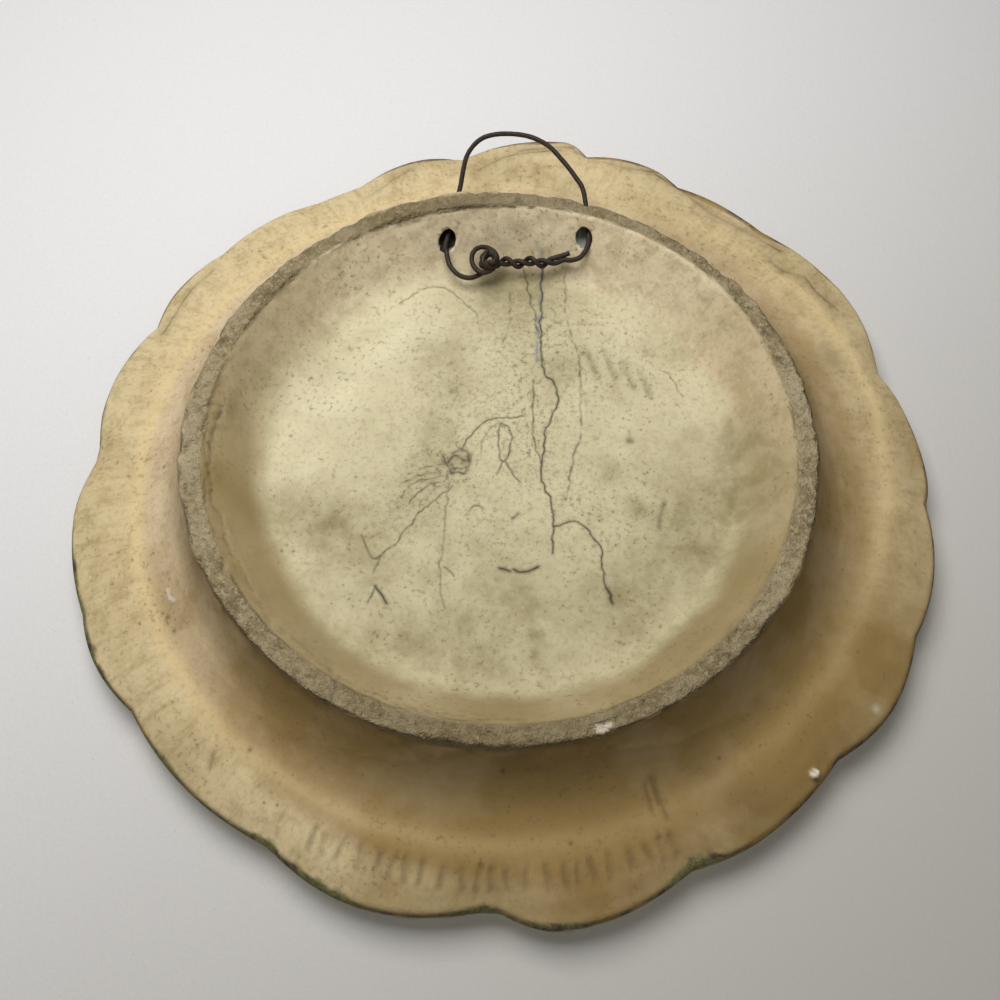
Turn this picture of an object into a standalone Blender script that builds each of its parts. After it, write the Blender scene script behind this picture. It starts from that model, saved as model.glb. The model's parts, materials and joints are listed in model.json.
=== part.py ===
"""Plaster wall plate with a leaf-edged rim, a hollow foot ring and an iron hanging wire.

Units are metres and +Z is up. The plate hangs upright: its decorated face looks along -Y, and
the foot ring on its back rests against the wall, on the +Y side. The origin is the point where
a nail carries the wire loop.

The shape is worked out in the plate's own coordinates, as someone behind it sees them: right,
up and out, measured from the middle of the foot ring. Out is 0 on the foot ring's flat land and
grows towards the wall. Angles run anticlockwise from right, in degrees.
"""

import math

import bmesh
import bpy
from mathutils import Vector

MM = 0.001

# Foot ring and the recess inside it
FOOT_RADIUS = 89.9 * MM
LAND_WIDTH = 5.2 * MM
LAND_ARRIS = 0.5 * MM
RECESS_DEPTH = 15.0 * MM
RECESS_WALL_RUN = 13.5 * MM
RECESS_FILLET = 8.0 * MM
FILLET_STEPS = 3

# The ring is a little oval and off centre: size and direction of each, and
# the shares of its radius between which that fades in
OVALITY = 0.9 * MM
OVALITY_ANGLE = 147
OFF_CENTRE = 0.6 * MM
OFF_CENTRE_ANGLE = 170
WANDER_SHARES = (0.5, 0.8)

# Cove and band of the rim's back, outwards from the foot ring. The bend and
# the band's points are shares of the run and of the drop.
COVE_RUN = 18.0 * MM
COVE_DROP = 20.5 * MM
COVE_BEND = (0.26, 0.86)
COVE_STEPS = 5
BAND_POINTS = ((0.42, 0.24), (0.76, 0.60))
RIM_RADIUS = 126.0 * MM
RIM_DROP = 24.3 * MM
EDGE_BEVEL = 2.4 * MM
EDGE_THICKNESS = 5.4 * MM
EDGE_ROUND = (0.3, 0.5)

# Front: a shallow well, a bead around it and a crest under the leaves. The
# points of each sweep are shares of its run and of its rise.
PANEL_THICKNESS = 6.5 * MM
WELL_RADIUS = 84.0 * MM
WELL_RISE = 2.4 * MM
BEAD_WIDTH = 6.0 * MM
BEAD_HEIGHT = 1.9 * MM
CREST_INSET = 13.0 * MM
CREST_RISE = 6.6 * MM
FRONT_EDGE = (0.5, 0.2)
CREST_POINTS = ((0.30, 0.45), (0.62, 0.86))
LEAF_BED_POINTS = ((0.34, 0.22), (0.70, 0.66))
BEAD_POINTS = ((0.0, 0.2), (0.3, 1.0), (0.7, 0.8))
WELL_EDGE_SHARE = 0.3
WELL_FLAT_SHARE = 0.86

# Leaves of the rim: angle of the tip, reach past RIM_RADIUS in mm, and the
# half widths before and after the tip, both in degrees
LEAVES = (
    (31, 7.1, 17, 25),
    (52, 5.3, 22, 15),
    (67, 7.5, 11, 13),
    (79, 9.7, 6, 18),
    (102, 5.6, 9, 10),
    (131, 3.3, 12, 14),
    (144, 4.9, 12, 10),
    (163, 3.8, 13, 11),
    (188, 4.9, 12, 24),
    (203, 4.5, 12, 12),
    (224, 1.4, 14, 14),
    (252, 4.0, 13, 14),
    (276, 5.3, 8, 16),
    (301, 2.0, 9, 16),
    (326, 5.1, 12, 16),
    (343, 5.2, 16, 17),
    (358, 4.4, 8, 18),
)
LEAF_POINT = 1.2
LEAF_BLADE = 1.9 * MM
LEAF_BLADE_POWER = 2.5
LEAF_LAP = 1.5 * MM
LEAF_RIB = 1.0 * MM
LEAF_RIB_SHARE = 0.13
LEAF_INNER_ROUND = 5.0 * MM

# The rim curls back a little towards the wall near its top
CURL_ANGLE = 78
CURL_HALF_WIDTH = 32
CURL_HEIGHT = 3.0 * MM

# Shares of the cove's run where the curl and the wavy outline start
CURL_START_SHARE = 0.5
WAVE_START_SHARE = 0.8

# Two wire holes through the foot ring: offsets inside and outside, and depth
HOLE_DIAMETER = 5.5 * MM
HOLE_SIDES = 16
LEFT_HOLE = (-15.2 * MM, -12.6 * MM, 7.9 * MM)
RIGHT_HOLE = (29.0 * MM, 30.6 * MM, 5.1 * MM)
CUTTER_OVERRUN = 5.0 * MM

# Iron wire. Its bends are a hand's work, so its runs are free forms: offsets
# in mm (right, up, out) from the mouth of the hole that each run leaves.
WIRE_DIAMETER = 1.6 * MM
WIRE_GAP = 0.26 * MM
LEFT_LEAD = (
    (14.6, -8.0, -3.0),
    (11.7, -9.6, -3.5),
    (9.4, -11.0, -3.4),
    (7.2, -11.9, -3.2),
    (4.6, -11.4, -3.0),
    (2.4, -9.9, -2.5),
    (0.8, -7.6, -1.9),
    (0.1, -5.2, -1.3),
    (-0.2, -2.5, -0.7),
    (-0.3, 0.1, -0.3),
)
RIGHT_LEAD = (
    (1.5, 2.6, 0.2),
    (1.5, -0.1, 0.0),
    (1.1, -2.7, -0.8),
    (-0.1, -5.0, -1.8),
    (-2.0, -6.5, -2.8),
)
LEFT_PAIR_END = (16.3, -7.5, -1.6)
RIGHT_PAIR_END = (-5.1, -7.0, -3.6)
TAIL = ((6.4, 0.9, 1.7), (3.0, 0.3, 0.9))
TWIST_TURNS = 2.0
TWIST_STEPS = 22
TWIST_END_SHARE = 0.74

# The loop over the nail: shares of the span between the holes' far mouths,
# of the rise and of the lift towards the wall
LOOP_RISE = 30.2 * MM
LOOP_LIFT = 1.2 * MM
LOOP = (
    (0.037, 0.149, 0.50),
    (0.071, 0.459, 0.65),
    (0.104, 0.679, 0.75),
    (0.168, 0.846, 0.90),
    (0.249, 0.950, 1.00),
    (0.371, 1.000, 1.00),
    (0.518, 0.998, 0.90),
    (0.638, 0.948, 0.80),
    (0.751, 0.828, 0.65),
    (0.852, 0.617, 0.50),
    (0.930, 0.413, 0.35),
    (0.985, 0.200, 0.20),
)
LOOP_TOP_SHARE = 0.9

# The knot: one strand's end, coiled beside the twist
KNOT_MIDDLE = (-4.3, 0.8, 0.6)
KNOT_START = -22
KNOT_TURNS = 1.7
KNOT_STEPS = 24
KNOT_RADII = (4.1 * MM, 1.4 * MM)
KNOT_SHRINK = (0.45, 0.95)
KNOT_RISE = (0.2 * MM, 3.6 * MM)
KNOT_HEIGHT_SHARE = 1.18

# Steps of the meshes
TURN_STEPS = 136
WIRE_STEP = 3.2 * MM
BEND_STEP = 1.8 * MM
WIRE_SIDES_SETTING = 2
MERGE_DISTANCE = 0.01 * MM
SHARP_ANGLE = 35.0


def mix(a, b, share):
    return a + (b - a) * share


def smooth(low, high, value):
    """0 below low, 1 above high, and a smooth rise between."""
    share = min(max((value - low) / (high - low), 0.0), 1.0)
    return share * share * (3.0 - 2.0 * share)


def turn_between(start, end):
    """The angle from start to end, from -180 to 180 degrees."""
    return (end - start + 180.0) % 360.0 - 180.0


def clear_scene():
    for obj in list(bpy.data.objects):
        bpy.data.objects.remove(obj, do_unlink=True)


def collection_named(name):
    group = bpy.data.collections.new(name)
    bpy.context.scene.collection.children.link(group)
    return group


def material(name, colour, roughness, metallic=0.0):
    made = bpy.data.materials.new(name)
    made.use_nodes = True
    shader = made.node_tree.nodes["Principled BSDF"]
    shader.inputs["Base Color"].default_value = (*colour, 1.0)
    shader.inputs["Roughness"].default_value = roughness
    shader.inputs["Metallic"].default_value = metallic
    return made


# Turned profile


def land_inner():
    return FOOT_RADIUS - LAND_WIDTH


def wall_radius(depth):
    """Radius of the recess's sloping wall, at a depth below the land."""
    return land_inner() - RECESS_WALL_RUN * depth / RECESS_DEPTH


def rounded_corner(before, corner, after, radius, steps):
    """Points of an arc that rounds a corner between two straight runs."""
    corner = Vector(corner)
    to_before = (Vector(before) - corner).normalized()
    to_after = (Vector(after) - corner).normalized()
    half = to_before.angle(to_after) / 2.0
    reach = radius / math.tan(half)
    start = corner + to_before * reach
    end = corner + to_after * reach
    points = []
    for step in range(steps + 1):
        share = step / steps
        first = start.lerp(corner, share)
        second = corner.lerp(end, share)
        points.append(tuple(first.lerp(second, share)))
    return points


def cove_point(share):
    """A point of the concave sweep from the foot ring's edge to the rim's ridge."""
    start = Vector((FOOT_RADIUS + LAND_ARRIS, -LAND_ARRIS))
    bend = Vector((FOOT_RADIUS + COVE_BEND[0] * COVE_RUN, -COVE_BEND[1] * COVE_DROP))
    end = Vector((FOOT_RADIUS + COVE_RUN, -COVE_DROP))
    return start.lerp(bend, share).lerp(bend.lerp(end, share), share)


def cove_radius(depth):
    """Radius of the cove at a depth below the land, found by halving."""
    low, high = 0.0, 1.0
    for _ in range(30):
        middle = (low + high) / 2.0
        if -cove_point(middle).y < depth:
            low = middle
        else:
            high = middle
    return cove_point(low).x


def sweep(start, end, shares):
    """Points between two (radius, out) places, at shares of the run and of the rise."""
    return [(mix(start[0], end[0], run), mix(start[1], end[1], rise)) for run, rise in shares]


def back_profile():
    """(radius, out) from the middle of the recess to the rim's widest point."""
    middle = (0.0, -RECESS_DEPTH)
    floor_edge = (wall_radius(RECESS_DEPTH), -RECESS_DEPTH)
    land = (land_inner(), 0.0)
    band_start = (FOOT_RADIUS + COVE_RUN, -COVE_DROP)
    band_end = (RIM_RADIUS - EDGE_BEVEL, -RIM_DROP)
    edge = (RIM_RADIUS, -RIM_DROP - EDGE_BEVEL)
    points = [middle]
    points += rounded_corner(middle, floor_edge, land, RECESS_FILLET, FILLET_STEPS)
    points += [(wall_radius(LAND_ARRIS), -LAND_ARRIS), land, (FOOT_RADIUS, 0.0)]
    points += [tuple(cove_point(step / COVE_STEPS)) for step in range(COVE_STEPS + 1)]
    points += sweep(band_start, band_end, BAND_POINTS) + [band_end]
    points += [(edge[0] - EDGE_ROUND[0] * EDGE_BEVEL, mix(-RIM_DROP, edge[1], EDGE_ROUND[1])), edge]
    return points


def front_profile():
    """(radius, out) from the rim's front edge to the middle of the well."""
    well = -RECESS_DEPTH - PANEL_THICKNESS
    bead_base = well - WELL_RISE
    edge = -RIM_DROP - EDGE_THICKNESS
    crest = (RIM_RADIUS - CREST_INSET, -RIM_DROP - CREST_RISE)
    bead_outer = (WELL_RADIUS + BEAD_WIDTH, bead_base)
    bead_inner = (WELL_RADIUS, bead_base - BEAD_HEIGHT)
    points = [(RIM_RADIUS - FRONT_EDGE[0] * EDGE_BEVEL, edge + FRONT_EDGE[1] * EDGE_BEVEL)]
    points += sweep((RIM_RADIUS, edge), crest, CREST_POINTS) + [crest]
    points += sweep(crest, bead_outer, LEAF_BED_POINTS)
    points += sweep(bead_outer, bead_inner, BEAD_POINTS)
    points += [(WELL_RADIUS, bead_base + WELL_EDGE_SHARE * WELL_RISE)]
    points += [(WELL_FLAT_SHARE * WELL_RADIUS, well), (0.0, well)]
    return points


def middle_out(radius):
    """A height inside the plaster at a radius, which parts the back from the front."""
    at_foot = -RECESS_DEPTH - 0.5 * PANEL_THICKNESS
    at_rim = -RIM_DROP - (EDGE_BEVEL + EDGE_THICKNESS) / 2.0
    return mix(at_foot, at_rim, smooth(FOOT_RADIUS, RIM_RADIUS, radius))


# Wavy rim and leaves


def leaf_reach(angle):
    """How far the outline stands past RIM_RADIUS at an angle: the longest leaf there."""
    reach = 0.0
    for tip, length, before, after in LEAVES:
        turn = turn_between(tip, angle)
        share = -turn / before if turn < 0.0 else turn / after
        if share < 1.0:
            reach = max(reach, length * MM * (1.0 - share * share) ** LEAF_POINT)
    return reach


def wander(angle):
    """How far the foot ring stands from a true circle at an angle."""
    oval = OVALITY * math.cos(2.0 * math.radians(angle - OVALITY_ANGLE))
    return oval + OFF_CENTRE * math.cos(math.radians(angle - OFF_CENTRE_ANGLE))


def curl(angle):
    share = turn_between(CURL_ANGLE, angle) / CURL_HALF_WIDTH
    return CURL_HEIGHT * (1.0 - share * share) ** 2 if abs(share) < 1.0 else 0.0


def place_in_leaf(angle):
    """Where an angle lies across its leaf: -1 at one border, 0 at the rib, 1 at the other."""
    count = len(LEAVES)
    for number in range(count):
        tip = LEAVES[number][0]
        to_next = turn_between(tip, LEAVES[(number + 1) % count][0]) / 2.0
        to_last = turn_between(LEAVES[number - 1][0], tip) / 2.0
        turn = turn_between(tip, angle)
        if -to_last <= turn < to_next:
            return turn / to_last if turn < 0.0 else turn / to_next
    return 0.0


def leaf_relief(angle, radius):
    """How far the carved leaves stand out of the front at a point."""
    across = place_in_leaf(angle)
    root = WELL_RADIUS + BEAD_WIDTH + LEAF_INNER_ROUND * across * across
    blade = LEAF_BLADE * (1.0 - abs(across) ** LEAF_BLADE_POWER)
    lap = LEAF_LAP * (across + 1.0) / 2.0
    rib = LEAF_RIB * math.exp(-((across / LEAF_RIB_SHARE) ** 2))
    return (blade + lap + rib) * smooth(root, root + LEAF_INNER_ROUND, radius)


def carved(point):
    """The place of a point of the turned blank once the rim is wavy and the leaves are carved."""
    radius = math.hypot(point.x, point.y)
    if radius < LAND_WIDTH:
        return point
    angle = math.degrees(math.atan2(point.y, point.x))
    in_cove = smooth(FOOT_RADIUS + CURL_START_SHARE * COVE_RUN, RIM_RADIUS, radius)
    on_band = smooth(FOOT_RADIUS + WAVE_START_SHARE * COVE_RUN, RIM_RADIUS, radius)
    in_recess = smooth(WANDER_SHARES[0] * FOOT_RADIUS, WANDER_SHARES[1] * FOOT_RADIUS, radius)
    near_ring = in_recess * (1.0 - in_cove)
    stretch = 1.0 + (leaf_reach(angle) * on_band + wander(angle) * near_ring) / radius
    out = point.z + curl(angle) * in_cove
    if point.z < middle_out(radius):
        out -= leaf_relief(angle, radius)
    return Vector((point.x * stretch, point.y * stretch, out))


# Plate


def turned_blank(group):
    """The plate's section turned about the plate's axis, as a plain mesh."""
    section = back_profile() + front_profile()
    mesh = bpy.data.meshes.new("plate_section")
    points = [(radius, 0.0, out) for radius, out in section]
    edges = [(number, number + 1) for number in range(len(section) - 1)]
    mesh.from_pydata(points, edges, [])
    profile = bpy.data.objects.new("plate_section", mesh)
    group.objects.link(profile)
    screw = profile.modifiers.new("turn", "SCREW")
    screw.axis = "Z"
    screw.steps = TURN_STEPS
    screw.render_steps = TURN_STEPS
    screw.use_merge_vertices = True
    screw.merge_threshold = MERGE_DISTANCE
    evaluated = profile.evaluated_get(bpy.context.evaluated_depsgraph_get())
    turned = bpy.data.meshes.new_from_object(evaluated)
    bpy.data.objects.remove(profile, do_unlink=True)
    bpy.data.meshes.remove(mesh)
    return turned


def hole_ends(hole):
    """The middle of a wire hole's mouth in the recess, and of its mouth outside."""
    inside, outside, depth = hole
    mouth = Vector((inside, math.sqrt(wall_radius(depth) ** 2 - inside**2), -depth))
    far = Vector((outside, math.sqrt(cove_radius(depth) ** 2 - outside**2), -depth))
    return mouth, far


def hole_cutter(name, hole, group, frame):
    mouth, far = hole_ends(hole)
    along = (far - mouth).normalized()
    length = (far - mouth).length + 2.0 * CUTTER_OVERRUN
    bpy.ops.mesh.primitive_cylinder_add(vertices=HOLE_SIDES, radius=HOLE_DIAMETER / 2.0, depth=length)
    cutter = bpy.context.active_object
    cutter.name = name
    cutter.parent = frame
    cutter.location = (mouth + far) / 2.0
    cutter.rotation_euler = along.to_track_quat("Z", "Y").to_euler()
    for old in list(cutter.users_collection):
        old.objects.unlink(cutter)
    group.objects.link(cutter)
    cutter.hide_render = True
    cutter.display_type = "WIRE"
    return cutter


def make_plate(parts, cutters, frame):
    mesh = turned_blank(parts)
    shaped = bmesh.new()
    shaped.from_mesh(mesh)
    bmesh.ops.remove_doubles(shaped, verts=shaped.verts, dist=MERGE_DISTANCE)
    for vertex in shaped.verts:
        vertex.co = carved(vertex.co)
    shaped.to_mesh(mesh)
    shaped.free()
    mesh.shade_smooth()
    mesh.set_sharp_from_angle(angle=math.radians(SHARP_ANGLE))
    plate = bpy.data.objects.new("plate", mesh)
    plate.parent = frame
    parts.objects.link(plate)
    mesh.materials.append(material("plaster", (0.60, 0.50, 0.32), 0.85))
    for name, hole in (("left_wire_hole", LEFT_HOLE), ("right_wire_hole", RIGHT_HOLE)):
        cut = plate.modifiers.new(name, "BOOLEAN")
        cut.operation = "DIFFERENCE"
        cut.object = hole_cutter(name, hole, cutters, frame)
    return plate


# Hanging wire


def offsets(start, steps):
    """Points at offsets in millimetres from a start point."""
    return [start + Vector(step) * MM for step in steps]


def through_spline(points, spacing):
    """A smooth curve through points, with a point about every spacing."""
    ends = [points[0] * 2.0 - points[1]] + points + [points[-1] * 2.0 - points[-2]]
    curve = []
    for number in range(1, len(ends) - 2):
        p0, p1, p2, p3 = ends[number - 1 : number + 3]
        count = max(1, round((p2 - p1).length / spacing))
        for step in range(count):
            t = step / count
            curve.append(
                0.5
                * (
                    2.0 * p1
                    + (p2 - p0) * t
                    + (2.0 * p0 - 5.0 * p1 + 4.0 * p2 - p3) * t * t
                    + (3.0 * p1 - 3.0 * p2 + p3 - p0) * t * t * t
                )
            )
    return curve + [points[-1]]


def pair_ends():
    """Both ends of the axis that the two strands are twisted around."""
    left_mouth, _ = hole_ends(LEFT_HOLE)
    right_mouth, _ = hole_ends(RIGHT_HOLE)
    left = left_mouth + Vector(LEFT_PAIR_END) * MM
    return left, right_mouth + Vector(RIGHT_PAIR_END) * MM


def strand(start_angle, end_share):
    """One strand of the twist, from its left end, to a share of the axis."""
    left, right = pair_ends()
    radius = (WIRE_DIAMETER + WIRE_GAP) / 2.0
    steps = round(TWIST_STEPS * end_share)
    points = []
    for step in range(steps + 1):
        share = step / TWIST_STEPS
        angle = math.radians(start_angle) + math.tau * TWIST_TURNS * share
        side = Vector((0.0, math.cos(angle), math.sin(angle))) * radius
        points.append(left.lerp(right, share) + side)
    return points


def knot_spiral():
    """The strand's end, coiled into the knot, from its outside to its middle."""
    left, _ = pair_ends()
    middle = left + Vector(KNOT_MIDDLE) * MM
    points = []
    for step in range(KNOT_STEPS + 1):
        share = step / KNOT_STEPS
        angle = math.radians(KNOT_START - 360.0 * KNOT_TURNS * share)
        radius = mix(*KNOT_RADII, smooth(*KNOT_SHRINK, share))
        up = KNOT_HEIGHT_SHARE * radius * math.sin(angle)
        points.append(middle + Vector((radius * math.cos(angle), up, mix(*KNOT_RISE, share))))
    return points


def loop_run():
    """The run outside the foot ring, from the left hole's far mouth to the right one's."""
    _, left_far = hole_ends(LEFT_HOLE)
    _, right_far = hole_ends(RIGHT_HOLE)
    points = []
    for along, rise, lift in LOOP:
        raised = Vector((0.0, LOOP_RISE * rise, LOOP_LIFT * lift))
        points.append(left_far.lerp(right_far, along) + raised)
    return points


def wire_route():
    """The whole wire, from its tail through both holes to the middle of the knot."""
    left_mouth, _ = hole_ends(LEFT_HOLE)
    right_mouth, _ = hole_ends(RIGHT_HOLE)
    under = strand(-90.0, TWIST_END_SHARE)
    over = strand(90.0, 1.0)
    left_lead = offsets(left_mouth, LEFT_LEAD)
    right_lead = offsets(right_mouth, RIGHT_LEAD)
    tail = offsets(under[-1], TAIL)
    route = through_spline(tail + under[-1:], WIRE_STEP)[:-1]
    route += list(reversed(under))[:-1]
    route += through_spline(under[:1] + left_lead, BEND_STEP)[:-1]
    route += through_spline(left_lead[-1:] + loop_run() + right_lead[:1], WIRE_STEP)[:-1]
    route += through_spline(right_lead + over[-1:], BEND_STEP)[:-1]
    route += list(reversed(over))[:-1]
    route += through_spline(over[:1] + knot_spiral(), BEND_STEP)
    return route


def make_wire(parts, frame):
    route = wire_route()
    curve = bpy.data.curves.new("hanging_wire", "CURVE")
    curve.dimensions = "3D"
    curve.bevel_depth = WIRE_DIAMETER / 2.0
    curve.bevel_resolution = WIRE_SIDES_SETTING
    curve.use_fill_caps = True
    spline = curve.splines.new("POLY")
    spline.points.add(len(route) - 1)
    for point, place in zip(spline.points, route):
        point.co = (*place, 1.0)
    spline.use_smooth = True
    curve.materials.append(material("iron_wire", (0.045, 0.032, 0.026), 0.65, 0.6))
    wire = bpy.data.objects.new("hanging_wire", curve)
    wire.parent = frame
    parts.objects.link(wire)
    return wire


def nail_point():
    """Under the wire loop, above the plate's middle, where a nail carries it."""
    _, left_far = hole_ends(LEFT_HOLE)
    route = wire_route()
    over = [point for point in route if point.y > left_far.y + LOOP_TOP_SHARE * LOOP_RISE]
    nearest = min(over, key=lambda point: abs(point.x))
    return Vector((0.0, nearest.y - WIRE_DIAMETER / 2.0, nearest.z))


def hanging_frame(group):
    """An empty that stands the plate's own coordinates up, with the nail at the origin."""
    frame = bpy.data.objects.new("hanging_frame", None)
    group.objects.link(frame)
    nail = nail_point()
    frame.rotation_euler = (math.radians(90.0), 0.0, math.radians(180.0))
    frame.location = (0.0, -nail.z, -nail.y)
    return frame


def main():
    clear_scene()
    parts = collection_named("plaster_wall_plate")
    cutters = collection_named("cutters")
    frame = hanging_frame(parts)
    make_plate(parts, cutters, frame)
    make_wire(parts, frame)


main()
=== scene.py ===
import json
import math

import bpy
import numpy as np
from mathutils import Matrix, Vector
from mathutils.geometry import delaunay_2d_cdt


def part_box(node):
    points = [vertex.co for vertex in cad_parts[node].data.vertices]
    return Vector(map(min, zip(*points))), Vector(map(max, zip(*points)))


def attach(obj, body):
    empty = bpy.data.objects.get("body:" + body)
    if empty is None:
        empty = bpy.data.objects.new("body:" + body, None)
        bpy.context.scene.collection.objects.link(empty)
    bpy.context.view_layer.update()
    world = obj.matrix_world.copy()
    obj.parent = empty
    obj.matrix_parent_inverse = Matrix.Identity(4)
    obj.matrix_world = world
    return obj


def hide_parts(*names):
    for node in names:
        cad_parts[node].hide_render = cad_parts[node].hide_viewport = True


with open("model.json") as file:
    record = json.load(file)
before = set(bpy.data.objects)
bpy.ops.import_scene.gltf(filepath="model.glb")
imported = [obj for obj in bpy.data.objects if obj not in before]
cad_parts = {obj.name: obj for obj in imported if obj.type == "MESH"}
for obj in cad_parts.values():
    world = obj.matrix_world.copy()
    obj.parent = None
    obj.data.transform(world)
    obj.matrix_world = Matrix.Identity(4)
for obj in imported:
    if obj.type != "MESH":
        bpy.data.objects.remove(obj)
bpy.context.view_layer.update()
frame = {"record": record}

# The plate's visual model. It is worked out in the plate's own coordinates, as seen from behind:
# right, up and out in millimetres, from the middle of the foot ring, with out 0 on its flat land.
# Angles run anticlockwise from right, in degrees.

MM = 0.001
SEED = 7
NEAR_LINE = 9.0
STREAK_LENGTH = 420.0

# Spacing of the back's points in mm
RING_START = 1.2
RING_STEP = 1.35
LAND_STEP = 0.62
EDGE_STEP = 0.8
EDGE_COUNT = 640
MARK_SPACING = 0.16
MARK_CLEARANCE = 0.6

# Section of the back, as in the CAD model
FOOT_RADIUS = 89.9
LAND_WIDTH = 5.2
RECESS_DEPTH = 15.0
RECESS_WALL_RUN = 13.5
FILLET_REACH = 5.5
COVE_RUN = 18.0
COVE_DROP = 20.5
COVE_BEND = (0.26, 0.86)
BAND_POINTS = ((0.42, 0.24), (0.76, 0.60))
RIM_RADIUS = 126.0
RIM_DROP = 24.3
EDGE_BEVEL = 2.4
EDGE_THICKNESS = 5.4
ARRIS = 0.6
OVALITY = 0.9
OVALITY_ANGLE = 147
OFF_CENTRE = 0.6
OFF_CENTRE_ANGLE = 170

# Section of the front
PANEL_THICKNESS = 6.5
WELL_RADIUS = 84.0
WELL_RISE = 2.4
BEAD_WIDTH = 6.0
BEAD_HEIGHT = 1.9
CREST_INSET = 13.0
CREST_RISE = 6.6

# Leaves: angle of the tip, reach in mm, half widths before and after the tip in degrees
LEAVES = (
    (31, 7.1, 17, 25),
    (52, 5.3, 22, 15),
    (67, 7.5, 11, 13),
    (79, 9.7, 6, 18),
    (102, 5.6, 9, 10),
    (131, 3.3, 12, 14),
    (144, 4.9, 12, 10),
    (163, 3.8, 13, 11),
    (188, 4.9, 12, 24),
    (203, 4.5, 12, 12),
    (224, 1.4, 14, 14),
    (252, 4.0, 13, 14),
    (276, 5.3, 8, 16),
    (301, 2.0, 9, 16),
    (326, 5.1, 12, 16),
    (343, 5.2, 16, 17),
    (358, 4.4, 8, 18),
)
LEAF_POINT = 1.2
LEAF_BLADE = 1.9
LEAF_LAP = 1.5
LEAF_RIB = 1.0
LEAF_RIB_SHARE = 0.13
LEAF_INNER_ROUND = 5.0
LEAF_VEIN = 0.35
CURL_ANGLE = 78
CURL_HALF_WIDTH = 32
CURL_HEIGHT = 3.0

# Wire holes: offsets to the right inside and outside, depth below the land
HOLE_RADIUS = 2.75
LEFT_HOLE = (-15.2, -12.6, 7.9)
RIGHT_HOLE = (29.0, 30.6, 5.1)
CUTTER_REACH = 1.5
CUTTER_SIDES = 28
CUTTER_RINGS = 12

# Hanging wire: a hand-bent route in mm (right, up, out) from the mouth of the hole each run leaves
WIRE_DIAMETER = 1.6
WIRE_STEP = 0.7
WIRE_SIDES = 12
LEFT_LEAD = ((14.6, -8.0, -3.0), (11.7, -9.6, -3.5), (9.4, -11.0, -3.4), (7.2, -11.9, -3.2),
             (4.6, -11.4, -3.0), (2.4, -9.9, -2.5), (0.8, -7.6, -1.9), (0.1, -5.2, -1.3),
             (-0.2, -2.5, -0.7), (-0.3, 0.1, -0.3))
RIGHT_LEAD = ((1.5, 2.6, 0.2), (1.5, -0.1, 0.0), (1.1, -2.7, -0.8), (-0.1, -5.0, -1.8), (-2.0, -6.5, -2.8))
LEFT_PAIR_END = (16.3, -7.5, -1.6)
RIGHT_PAIR_END = (-5.1, -7.0, -3.6)
TAIL = ((6.4, 0.9, 1.7), (3.0, 0.3, 0.9))
TWIST_TURNS = 3.0
TWIST_REACH = (1.35, 0.55)
TWIST_STEPS = 30
TWIST_END_SHARE = 0.74
LOOP_RISE = 30.2
LOOP_LIFT = 1.2
LOOP = ((0.037, 0.149, 0.50), (0.071, 0.459, 0.65), (0.104, 0.679, 0.75), (0.168, 0.846, 0.90),
        (0.249, 0.950, 1.00), (0.371, 1.000, 1.00), (0.518, 0.998, 0.90), (0.638, 0.948, 0.80),
        (0.751, 0.828, 0.65), (0.852, 0.617, 0.50), (0.930, 0.413, 0.35), (0.985, 0.200, 0.20))
KNOT_MIDDLE = (-4.3, 0.8, 0.6)
KNOT_START = -22
KNOT_TURNS = 4.2
KNOT_STEPS = 84
KNOT_RADII = (4.1, 2.0)
KNOT_LUMP = (1.5, -1.2, 0.0)
KNOT_SHRINK = (0.20, 0.36)
KNOT_RISE = (0.2, 3.0)
KNOT_WOBBLE = 0.5
KNOT_HEIGHT_SHARE = 1.18

# Camera, in the plate's coordinates
CAMERA_PLACE = (-0.57, -152.89, 267.82)
CAMERA_RIGHT = (0.99953, -0.02744, -0.01350)
CAMERA_UP = (0.03059, 0.89683, 0.44131)
CAMERA_LENS = 38.77
CAMERA_SENSOR = 36.0


def smooth(low, high, value):
    share = np.clip((value - low) / (high - low), 0.0, 1.0)
    return share * share * (3.0 - 2.0 * share)


def turn_between(start, end):
    return (end - start + 180.0) % 360.0 - 180.0


def angle_of(points):
    """Angles in degrees round the plate's middle."""
    return np.degrees(np.arctan2(points[:, 1], points[:, 0]))


def radius_of(points):
    return np.hypot(points[:, 0], points[:, 1])


def around(angle, radius):
    """(right, up) of places at an angle in degrees and a distance from the middle."""
    at = np.radians(angle)
    return np.column_stack((radius * np.cos(at), radius * np.sin(at)))


# Where the plate stands in the frame


def plate_centre():
    """The foot ring's middle in the frame, from the wall mount on the bottom of its land."""
    mounts = {mount["name"]: mount for mount in frame["record"]["mounts"]}
    land = Vector(mounts["wall_face"]["pos_m"])
    middle_of_land = FOOT_RADIUS - LAND_WIDTH / 2.0 + float(wander(np.array([270.0]))[0])
    return Vector((0.0, land.y, land.z + middle_of_land * MM))


def to_frame(points):
    """Plate coordinates in mm, one point a row, as places in the frame in metres."""
    centre = plate_centre()
    points = np.atleast_2d(np.asarray(points, float)) * MM
    return np.column_stack((centre.x - points[:, 0], centre.y + points[:, 2], centre.z + points[:, 1]))


def direction_in_frame(direction):
    right, up, out = direction
    return Vector((-right, out, up)).normalized()


# Section


def wander(angle):
    oval = OVALITY * np.cos(2.0 * np.radians(angle - OVALITY_ANGLE))
    return oval + OFF_CENTRE * np.cos(np.radians(angle - OFF_CENTRE_ANGLE))


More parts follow.
